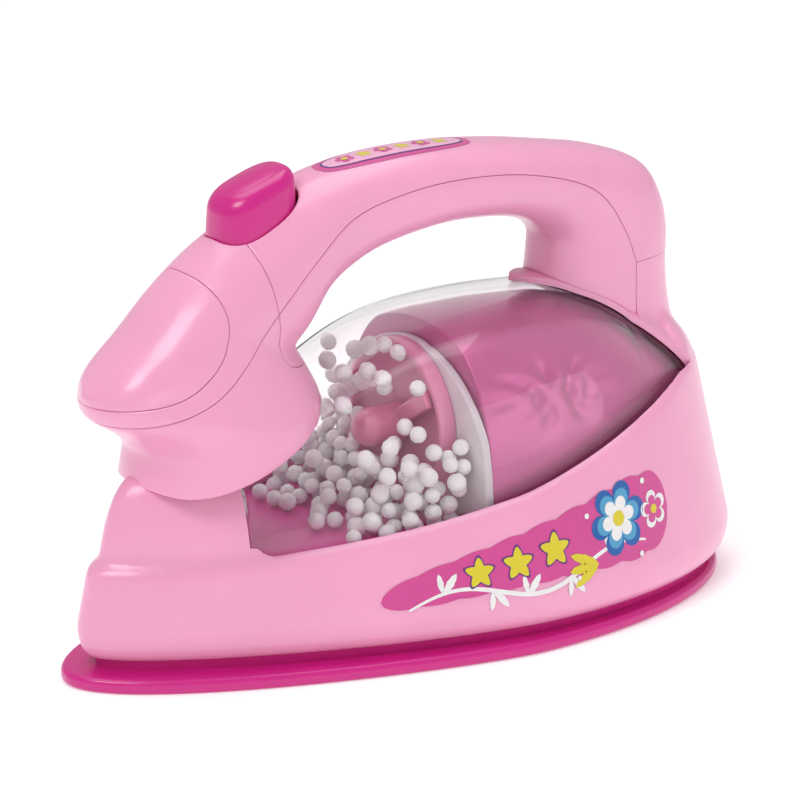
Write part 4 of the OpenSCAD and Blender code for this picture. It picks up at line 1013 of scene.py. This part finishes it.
class IRON_OT_button(bpy.types.Operator):
    """Makes the push button and the spring that it presses"""
    bl_idname = "iron.button"
    bl_label = "Button"

    def execute(self, context):
        skirt = [(-6.6, -1.2), (-6.6, -0.4), (-6.2, 0), (-3, 0), (0, 0), (BUTTON_H * 0.3, -0.12),
                 (BUTTON_H * 0.58, -0.3)]
        edge = [(BUTTON_H * (0.58 + 0.36 * math.sin(a)), -0.3 - 2.5 * (1 - math.cos(a))) for a in turn_steps(10, 10)]
        crown = [(BUTTON_H * h, -BUTTON_H * inset)
                 for h, inset in ((0.962, 0.4), (0.98, 0.5), (0.991, 0.6), (0.998, 0.7), (1.0, 0.75))]
        button = piece("button", solid([button_ring(h, grow) for h, grow in skirt + edge + crown]),
                       finish_of("magenta"), None)
        well = round_cutter((BUTTON_S, 0, WELL_TOP - WELL_H / 2), WELL_R, WELL_H, segments=48)
        carve(button, well)
        stem = round_cutter((BUTTON_S, 0, STEM_MIDDLE), STEM_R, STEM_H)
        join_into(button, stem)
        discard(well)
        round_edges(button, 0.3, 60)
        dress(button, "button", "magenta_plastic", "push_button")
        spring = piece("spring", merged_copy("button_spring"), finish_of("steel"))
        dress(spring, "iron", "spring_steel", "button_spring")
        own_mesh(spring)
        return {"FINISHED"}


class IRON_OT_dome(bpy.types.Operator):
    """Makes the clear dome and the clear partition behind the stirrer"""
    bl_idname = "iron.dome"
    bl_label = "Clear dome"

    def execute(self, context):
        stations = [mix(DOME_FRONT, DOME_REAR - 0.5, i / 90) for i in range(91)]
        dome = piece("dome", surface([dome_arc(s, 0) for s in stations]), finish_of("clear"))
        mod = dome.modifiers.new("wall", "SOLIDIFY")
        mod.thickness, mod.offset, mod.use_even_offset = DOME_WALL * MM, -1, False
        settle(dome)
        dress(dome, "iron", "clear_plastic", "clear_dome")
        arch = piece("partition", merged_copy("clear_partition"), finish_of("frosted"))
        round_edges(arch, 0.3, 50)
        dress(arch, "iron", "clear_plastic", "clear_partition")
        return {"FINISHED"}


def to_deck(arc):
    """An arc of the dome with its two feet carried down to the deck."""
    return [(*arc[0][:2], DECK_Z)] + arc + [(*arc[-1][:2], DECK_Z)]


def fold(s, z):
    """How far the inner cover's side is drawn in at a place: folds like petals round two dimples."""
    ds, dz = (s - FOLDS_AT[0]) / FOLDS_LONG, z - FOLDS_AT[1]
    r = math.hypot(ds, dz)
    petal = (0.5 - 0.5 * math.cos(FOLDS * math.atan2(dz, ds) + FOLDS_TURN)) ** 2
    ring = math.exp(-(max(r - FOLDS_TO, 0) / FOLDS_FADE) ** 2) * min(max((r - FOLDS_FROM) / FOLDS_RISE, 0), 1)
    pit = sum(math.exp(-(math.hypot((s - a) / DIMPLE_LONG, z - b) / DIMPLE_R) ** 2) for a, b in DIMPLES)
    return petal * ring + DIMPLE_DEPTH * pit


class IRON_OT_chamber(bpy.types.Operator):
    """Makes the deck, the bulkhead and the inner cover with its folds"""
    bl_idname = "iron.chamber"
    bl_label = "Chamber"

    def execute(self, context):
        sizes = context.scene.iron_sizes
        # The deck takes the brightened magenta, painted light against its shade
        deck = piece("deck", merged_copy("deck_tray"), finish_of("deck"))
        round_edges(deck, 0.3, 50)
        dress(deck, "iron", "magenta_plastic", "deck_tray")
        wall = piece("well", merged_copy("bulkhead"), finish_of("bulkhead"))
        round_edges(wall, 0.45, 50)
        dress(wall, "iron", "tinted_plastic", "bulkhead")
        near, far = [behind_nose(corner.x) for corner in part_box("rear_inner_cover")]
        bm = surface([to_deck(dome_arc(mix(near, far, i / 120), COVER_ROOM)) for i in range(121)])
        bm.normal_update()
        up = 1 if sum(f.normal.z for f in bm.faces) > 0 else -1
        for v in bm.verts:
            v.co -= v.normal * up * fold(behind_nose(v.co.x), v.co.z / MM) * sizes.fold_depth * MM
        if up < 0:
            bmesh.ops.reverse_faces(bm, faces=bm.faces)
        cover = piece("inner_cover", bm, finish_of("pearl"))
        mod = cover.modifiers.new("wall", "SOLIDIFY")
        mod.thickness, mod.offset, mod.use_even_offset = COVER_WALL * MM, -1, False
        settle(cover)
        arc = to_deck(dome_arc(near, COVER_ROOM + 0.4))
        wall = piece("wall", solid([[(s, y, z) for _, y, z in arc + arc[:1]] for s in (near + 0.05, near + 1.4)]))
        hole = round_cutter((near, 0, AXIS_Z), SHAFT_HOLE_R, 6, along=True)
        carve(wall, hole)
        join_into(cover, wall)
        discard(hole)
        dress(cover, "iron", "pearl_plastic", "rear_inner_cover")
        return {"FINISHED"}


class IRON_OT_stirrer(bpy.types.Operator):
    """Makes the stirrer's rounded hub and flat arm"""
    bl_idname = "iron.stirrer"
    bl_label = "Stirrer"

    def execute(self, context):
        front, rear = [behind_nose(corner.x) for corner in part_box("agitator")]
        outline = [(front + HUB_R * (1 - math.cos(a)), HUB_R * math.sin(a)) for a in turn_steps(10)]
        outline += [(rear - HUB_EDGE, HUB_R), (rear, HUB_R - HUB_EDGE), (rear, HUB_BORE_R)]
        bm = bmesh.new()
        profile = [bm.verts.new(place(s, 0, AXIS_Z + r)) for s, r in outline]
        edges = [bm.edges.new(p) for p in zip(profile, profile[1:])]
        bmesh.ops.spin(bm, geom=profile + edges, cent=(0, 0, AXIS_Z * MM), axis=(1, 0, 0), dvec=(0, 0, 0),
                       angle=2 * math.pi, steps=56, use_merge=True)
        bmesh.ops.remove_doubles(bm, verts=bm.verts, dist=1e-6)
        bmesh.ops.recalc_face_normals(bm, faces=bm.faces)
        hub = piece("stirrer", bm, finish_of("stirrer"))
        bm = bmesh.new()
        bmesh.ops.create_cube(bm, size=1)
        bmesh.ops.scale(bm, vec=Vector((ARM_T, ARM_LONG, ARM_WIDE)) * MM, verts=bm.verts)
        for v in bm.verts:
            if v.co.y > 0:
                v.co.z *= ARM_WIDENS
        bmesh.ops.bevel(bm, geom=bm.edges[:], offset=0.5 * MM, segments=3, affect="EDGES", profile=0.5, material=-1)
        bmesh.ops.translate(bm, verts=bm.verts, vec=place(rear - ARM_BACK, ARM_OUT, 0))
        bmesh.ops.transform(bm, matrix=Matrix.Rotation(math.radians(ARM_TURN), 4, "X"), verts=bm.verts)
        bmesh.ops.translate(bm, verts=bm.verts, vec=(0, 0, AXIS_Z * MM))
        join_into(hub, piece("arm", bm))
        dress(hub, "stirrer", "stirrer_plastic", "agitator")
        return {"FINISHED"}


def clear_view(places):
    """The loose beads without those that hide the stirrer from the camera."""
    hub, tip = place(70, 0, AXIS_Z), place(66, -12, 47)
    flat = lambda way: way - TOWARD_VIEW * way.dot(TOWARD_VIEW)
    arm = flat(tip - hub)

    def hides(at):
        off = Vector(at) - hub
        t = min(max(flat(off).dot(arm) / arm.length_squared, 0), 1)
        return (flat(off) - arm * t).length < HIDES_WITHIN * MM and off.dot(TOWARD_VIEW) > HIDES_BEFORE * MM

    return [(at, radius) for at, radius in places if not hides(at)]


def islands(bm):
    """Groups of points that hang together."""
    left, groups = set(bm.verts), []
    while left:
        seed = left.pop()
        group, queue = [seed], [seed]
        while queue:
            for e in queue.pop().link_edges:
                for v in e.verts:
                    if v in left:
                        left.discard(v)
                        group.append(v)
                        queue.append(v)
        groups.append(group)
    return groups


class IRON_OT_beads(bpy.types.Operator):
    """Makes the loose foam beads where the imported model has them"""
    bl_idname = "iron.beads"
    bl_label = "Beads"

    def execute(self, context):
        bm = bmesh.new()
        bm.from_mesh(frame["nodes"]["foam_beads"].data)
        bmesh.ops.remove_doubles(bm, verts=bm.verts, dist=2e-7)
        places = []
        for group in islands(bm):
            low, high = [Vector([pick(v.co[k] for v in group) for k in range(3)]) for pick in (min, max)]
            places.append((tuple((low + high) / 2), (high.z - low.z) / 2))
        bm.free()
        draw = random.Random(7)
        beads = bmesh.new()
        for centre, radius in clear_view(sorted(places)):
            made = bmesh.ops.create_icosphere(beads, subdivisions=2, radius=radius * BEAD_SHARE)["verts"]
            squash = Matrix.Diagonal([mix(BEAD_SQUASH, 1, draw.random()) for _ in range(3)] + [1])
            turn = Matrix.Rotation(draw.uniform(0, math.pi), 4, (draw.random(), draw.random(), 0.5))
            bmesh.ops.transform(beads, matrix=Matrix.Translation(centre) @ turn @ squash, verts=made)
        obj = piece("beads", beads, finish_of("foam"), shade=80)
        dress(obj, "iron", "bead_foam", "foam_beads")
        return {"FINISHED"}


def tree_of(*names):
    """A search tree over the finished meshes of these pieces."""
    bm = bmesh.new()
    for n in names:
        bm.from_mesh(bpy.data.objects[n].data)
    tree = BVHTree.FromBMesh(bm)
    bm.free()
    return tree


def blob(bm, centre, radius_at, points, index, turn=0.0):
    """A flat closed form in a drawing: the radius is given for each angle."""
    made = bmesh.ops.create_circle(bm, cap_ends=True, cap_tris=True, segments=points, radius=1)["verts"]
    for v in made:
        if v.co.length > 0.5:
            a = math.atan2(v.co.y, v.co.x)
            r = radius_at(a)
            v.co = Vector((r * math.cos(a + turn), r * math.sin(a + turn), 0))
    for v in made:
        v.co += Vector((centre[0], centre[1], 0))
        for f in v.link_faces:
            f.material_index = index


def petals(count, outer, inner):
    """Radius of a flower for each angle."""
    return lambda a: mix(inner, outer, abs(math.cos(count * a / 2)) ** 0.6)


def leaf(length, width):
    """Radius of an oval with softly pointed ends for each angle."""
    return lambda a: ((1 - 0.15 * abs(math.sin(2 * a)))
                      / math.sqrt((math.cos(a) / length) ** 2 + (math.sin(a) / width) ** 2))


def star(outer, inner):
    """Radius of a star of five points for each angle."""
    return lambda a: mix(inner, outer, abs(2 * (a / (2 * math.pi) * 5 % 1) - 1) ** 1.2)


def strip(bm, path, width, index):
    """A ribbon in a drawing along a path of points, with a width for each."""
    n = len(path)
    made = bmesh.ops.create_grid(bm, x_segments=2, y_segments=n - 1, size=1)["verts"]
    for k, v in enumerate(made):
        i, side = k // 3, k % 3 - 1
        a, b = Vector(path[max(i - 1, 0)]), Vector(path[min(i + 1, n - 1)])
        along = (b - a).normalized()
        out = side * width(i / (n - 1))
        v.co = Vector((path[i][0] - along.y * out, path[i][1] + along.x * out, 0))
        for f in v.link_faces:
            f.material_index = index


# Places in the sticker on the skirt: distance behind the nose, height and, for stars and dots, radius
STARS = ((72.5, 17.6, 3.1), (80.6, 18.4, 3.3), (88.9, 19.8, 3.5))
DOTS = ((64.5, 16.0, 0.5), (97.2, 24.6, 0.55), (112.8, 28.2, 0.6), (110.4, 14.6, 0.55), (93.8, 13.4, 0.45))
FLOWER, BLOSSOM, SPRAY = (105.2, 22.6), (115.2, 22.2), (99.6, 15.2)


def side_ground():
    """The ground of the sticker on the skirt: a wavy band that widens towards the heel."""
    across, up = 150, 14
    ground = bmesh.new()
    made = bmesh.ops.create_grid(ground, x_segments=across, y_segments=up, size=1)["verts"]
    for k, v in enumerate(made):
        u, w = k % (across + 1) / across, k // (across + 1) / (up / 2) - 1
        middle = mix(13.5, 22.5, u) + 1.2 * math.sin(3.1 * u + 0.4)
        swell = math.sqrt(max(1 - (2 * u - 1) ** 8, 0))
        high = mix(3.0, 9.3, u ** 1.4) * (1 + 0.1 * abs(math.sin(math.pi * 9 * u))) * swell
        v.co = Vector((mix(53, 119.5, u), middle + w * (high if w > 0 else high * 0.88), 0))
    return ground


def side_drawing():
    """Layers of the sticker on the skirt, each a drawing in distance behind the nose and height, with its lift."""
    vine, outer, inner, core, eye = [bmesh.new() for _ in range(5)]
    path = [(mix(58, 112, i / 60), mix(12, 16.5, i / 60) + 2.1 * math.sin(i / 60 * 9.2)) for i in range(61)]
    strip(vine, path, lambda t: 0.22 + 0.25 * math.sin(math.pi * t), WHITE)
    for t, side in ((8, 1), (19, -1), (27, 1), (38, -1), (49, 1)):
        x, z = path[t]
        blob(vine, (x + 1.3, z + side * 1.7), leaf(2.3, 0.8), 20, WHITE, turn=side * 0.9)
        blob(vine, (x - 0.6, z + side * 1.9), leaf(1.9, 0.65), 20, WHITE, turn=side * 1.7)
    for x, z, r in STARS:
        blob(outer, (x, z), star(r + 0.5, (r + 0.5) * 0.52), 50, PURPLE, turn=0.3)
        blob(inner, (x, z), star(r, r * 0.5), 50, YELLOW, turn=0.3)
    for a in (2.75, 3.2, 3.65):
        at = (SPRAY[0] + 4.4 * math.cos(a), SPRAY[1] + 4.4 * math.sin(a) * 0.8)
        blob(outer, at, leaf(3.6, 1.05), 24, YELLOW, turn=a)
    blob(outer, FLOWER, petals(6, 7.2, 4.3), 96, BLUE, turn=0.2)
    blob(inner, FLOWER, petals(6, 5.8, 3.3), 96, SKY, turn=0.2)
    blob(core, FLOWER, petals(6, 4.3, 2.4), 96, WHITE, turn=0.2)
    blob(eye, FLOWER, lambda a: 1.5, 30, YELLOW)
    blob(outer, BLOSSOM, petals(5, 3.7, 2.1), 80, WHITE, turn=0.5)
    blob(inner, BLOSSOM, petals(5, 2.7, 1.5), 80, MAGENTA, turn=0.5)
    blob(core, BLOSSOM, lambda a: 0.9, 24, YELLOW)
    for x, z, r in DOTS:
        blob(core, (x, z), lambda a, r=r: r, 20, WHITE)
    return [(side_ground(), 0.10), (vine, 0.14), (outer, 0.17), (inner, 0.20), (core, 0.23), (eye, 0.26)]


def handle_drawing():
    """Layers of the sticker on the handle: three ovals in one another, then a row of flowers and stars."""
    layers = []
    for length, width, index, lift in ((17.6, 4.9, MAGENTA, 0.08), (16.2, 3.7, PURPLE, 0.11), (15.7, 3.25, PALE, 0.14)):
        bm = bmesh.new()
        made = bmesh.ops.create_grid(bm, x_segments=60, y_segments=12, size=1)["verts"]
        for v in made:
            u, w = v.co.x, v.co.y
            v.co = Vector((74.5 + length * u, width * w * (1 - abs(u) ** 3) ** (1 / 3), 0))
        for f in bm.faces:
            f.material_index = index
        layers.append((bm, lift))
    flowers, eyes = bmesh.new(), bmesh.new()
    for k in range(6):
        at = (63.5 + k * 4.4, 0)
        if k % 2:
            blob(flowers, at, star(1.9, 0.95), 50, YELLOW, turn=1.57)
        else:
            blob(flowers, at, petals(5, 2.0, 1.2), 60, MAGENTA, turn=0.6)
            blob(eyes, at, lambda a: 0.75, 20, YELLOW)
    return layers + [(flowers, 0.17), (eyes, 0.2)]


def sticker(name, layers, tree, start, way):
    """Lays the layers of a drawing on a surface, each a little higher, and joins them to one piece."""
    whole = bmesh.new()
    for bm, lift in layers:
        for v in bm.verts:
            hit = tree.ray_cast(start(v.co), way)[0]
            if hit is None:
                raise RuntimeError("a sticker runs off its surface")
            v.co = hit - way * lift * MM
        bm.normal_update()
        bmesh.ops.reverse_faces(bm, faces=[f for f in bm.faces if f.normal.dot(way) > 0])
        mesh = bpy.data.meshes.new("layer")
        bm.to_mesh(mesh)
        bm.free()
        whole.from_mesh(mesh)
        bpy.data.meshes.remove(mesh)
    dress(piece(name, whole, *[finish_of(ink) for ink in INKS]), "iron", "magenta_plastic")


class IRON_OT_stickers(bpy.types.Operator):
    """Lays the printed stickers on both sides of the skirt and on the handle"""
    bl_idname = "iron.stickers"
    bl_label = "Stickers"

    def execute(self, context):
        skirt = tree_of("body")
        for side, name in ((-1, "sticker_right"), (1, "sticker_left")):
            sticker(name, side_drawing(), skirt, lambda p, side=side: place(p.x, side * BESIDE, p.y),
                    Vector((0, -side, 0)))
        sticker("sticker_handle", handle_drawing(), tree_of("handle_top"), lambda p: place(p.x, p.y, OVERHEAD),
                Vector((0, 0, -1)))
        return {"FINISHED"}


class IRON_OT_works(bpy.types.Operator):
    """Finishes the motor, the batteries, the switch and the fasteners inside"""
    bl_idname = "iron.works"
    bl_label = "Works"

    def execute(self, context):
        plain = {"switch_base": "white", "switch_contacts": "brass", "motor_shaft": "steel",
                 "motor": "zinc", "motor_bracket": "white", "battery_box": "dark", "batteries": "wrap",
                 "battery_contacts": "steel", "battery_door": "magenta", "door_screw": "zinc", "case_screws": "zinc"}
        for node, name in plain.items():
            mesh = frame["nodes"][node].data
            mesh.materials.clear()
            mesh.materials.append(finish_of(name))
        return {"FINISHED"}


# Where each soft lamp stands and its size, in metres, and its power in watts
LAMPS = {
    "key": ((-0.85, -0.3, 1.05), (0.7, 0.45), 6.8),
    "fill": ((0.6, -0.95, 0.3), (0.9, 0.6), 3),
    "top": ((0.1, 0.25, 1.1), (0.9, 0.9), 5.5),
}
LAMP_AIM = Vector((0.0, 0.0, 0.045))


def soft_lamp(name):
    spot, size, watts = LAMPS[name]
    data = bpy.data.lights.new(name, "AREA")
    data.shape, data.size, data.size_y, data.energy = "RECTANGLE", *size, watts
    lamp = bpy.data.objects.new(name, data)
    lamp.location = spot
    lamp.rotation_euler = (LAMP_AIM - Vector(spot)).to_track_quat("-Z", "Y").to_euler()
    bpy.context.scene.collection.objects.link(lamp)
    return lamp


def surroundings(scene):
    """White where the camera sees it, also through clear parts, and softer as a light."""
    world = scene.world or bpy.data.worlds.new("surroundings")
    scene.world = world
    world.use_nodes = True
    nodes, links = world.node_tree.nodes, world.node_tree.links
    nodes.clear()
    path, seen = nodes.new("ShaderNodeLightPath"), nodes.new("ShaderNodeMath")
    seen.operation = "MAXIMUM"
    soft, white = nodes.new("ShaderNodeBackground"), nodes.new("ShaderNodeBackground")
    tune(soft, Color=(1, 1, 1, 1), Strength=0.44)
    tune(white, Color=(1, 1, 1, 1), Strength=1.0)
    either, out = nodes.new("ShaderNodeMixShader"), nodes.new("ShaderNodeOutputWorld")
    links.new(path.outputs["Is Camera Ray"], seen.inputs[0])
    links.new(path.outputs["Is Transmission Ray"], seen.inputs[1])
    links.new(seen.outputs[0], either.inputs["Fac"])
    links.new(soft.outputs[0], either.inputs[1])
    links.new(white.outputs[0], either.inputs[2])
    links.new(either.outputs[0], out.inputs["Surface"])


def photo_camera(scene):
    """The camera that was fitted to the photo, whose focal length is known in pixels."""
    cam = bpy.data.cameras.new("camera")
    cam.sensor_width, cam.lens = SENSOR, PHOTO_FOCUS / PHOTO_SIDE * SENSOR
    cam.clip_start, cam.clip_end = 0.05, 20
    view = bpy.data.objects.new("camera", cam)
    view.location = VIEW_AIM + TOWARD_VIEW * VIEW_BACK
    view.rotation_euler = (-TOWARD_VIEW).to_track_quat("-Z", "Y").to_euler()
    scene.collection.objects.link(view)
    scene.camera = view


class IRON_OT_stage(bpy.types.Operator):
    """Sets the floor, the soft lamps, the plain surroundings and the camera"""
    bl_idname = "iron.stage"
    bl_label = "Stage"

    def execute(self, context):
        scene = context.scene
        bm = bmesh.new()
        bmesh.ops.create_grid(bm, x_segments=4, y_segments=4, size=6)
        ground = new_material("floor", scene.iron_colours.floor, 0.9, Specular_IOR_Level=0.0,
                              Emission_Color=(1, 1, 1, 1), Emission_Strength=0.3)
        piece("floor", bm, ground)
        surroundings(scene)
        for name in LAMPS:
            soft_lamp(name).visible_glossy = name != "fill"
        photo_camera(scene)
        scene.view_settings.view_transform = "Standard"
        return {"FINISHED"}


class IRON_PT_panel(bpy.types.Panel):
    """Lists the sizes, the colours and the steps that make the iron"""
    bl_idname = "IRON_PT_panel"
    bl_label = "Toy iron"
    bl_space_type = "VIEW_3D"
    bl_region_type = "UI"
    bl_category = "Iron"

    def draw(self, context):
        for group in (context.scene.iron_sizes, context.scene.iron_colours):
            for name in group.__annotations__:
                self.layout.prop(group, name)
        for step in STEPS:
            self.layout.operator(step.bl_idname)


STEPS = (IRON_OT_stage, IRON_OT_sole, IRON_OT_body, IRON_OT_handle, IRON_OT_button, IRON_OT_dome,
         IRON_OT_chamber, IRON_OT_stirrer, IRON_OT_beads, IRON_OT_works, IRON_OT_stickers)
CLASSES = (IronSizes, IronColours, *STEPS, IRON_PT_panel)


def register():
    for c in CLASSES:
        bpy.utils.register_class(c)
    bpy.types.Scene.iron_sizes = bpy.props.PointerProperty(type=IronSizes)
    bpy.types.Scene.iron_colours = bpy.props.PointerProperty(type=IronColours)


def unregister():
    del bpy.types.Scene.iron_sizes
    del bpy.types.Scene.iron_colours
    for c in reversed(CLASSES):
        bpy.utils.unregister_class(c)


def main():
    register()
    for step in STEPS:
        group, name = step.bl_idname.split(".")
        getattr(getattr(bpy.ops, group), name)()


if __name__ == "__main__":
    main()
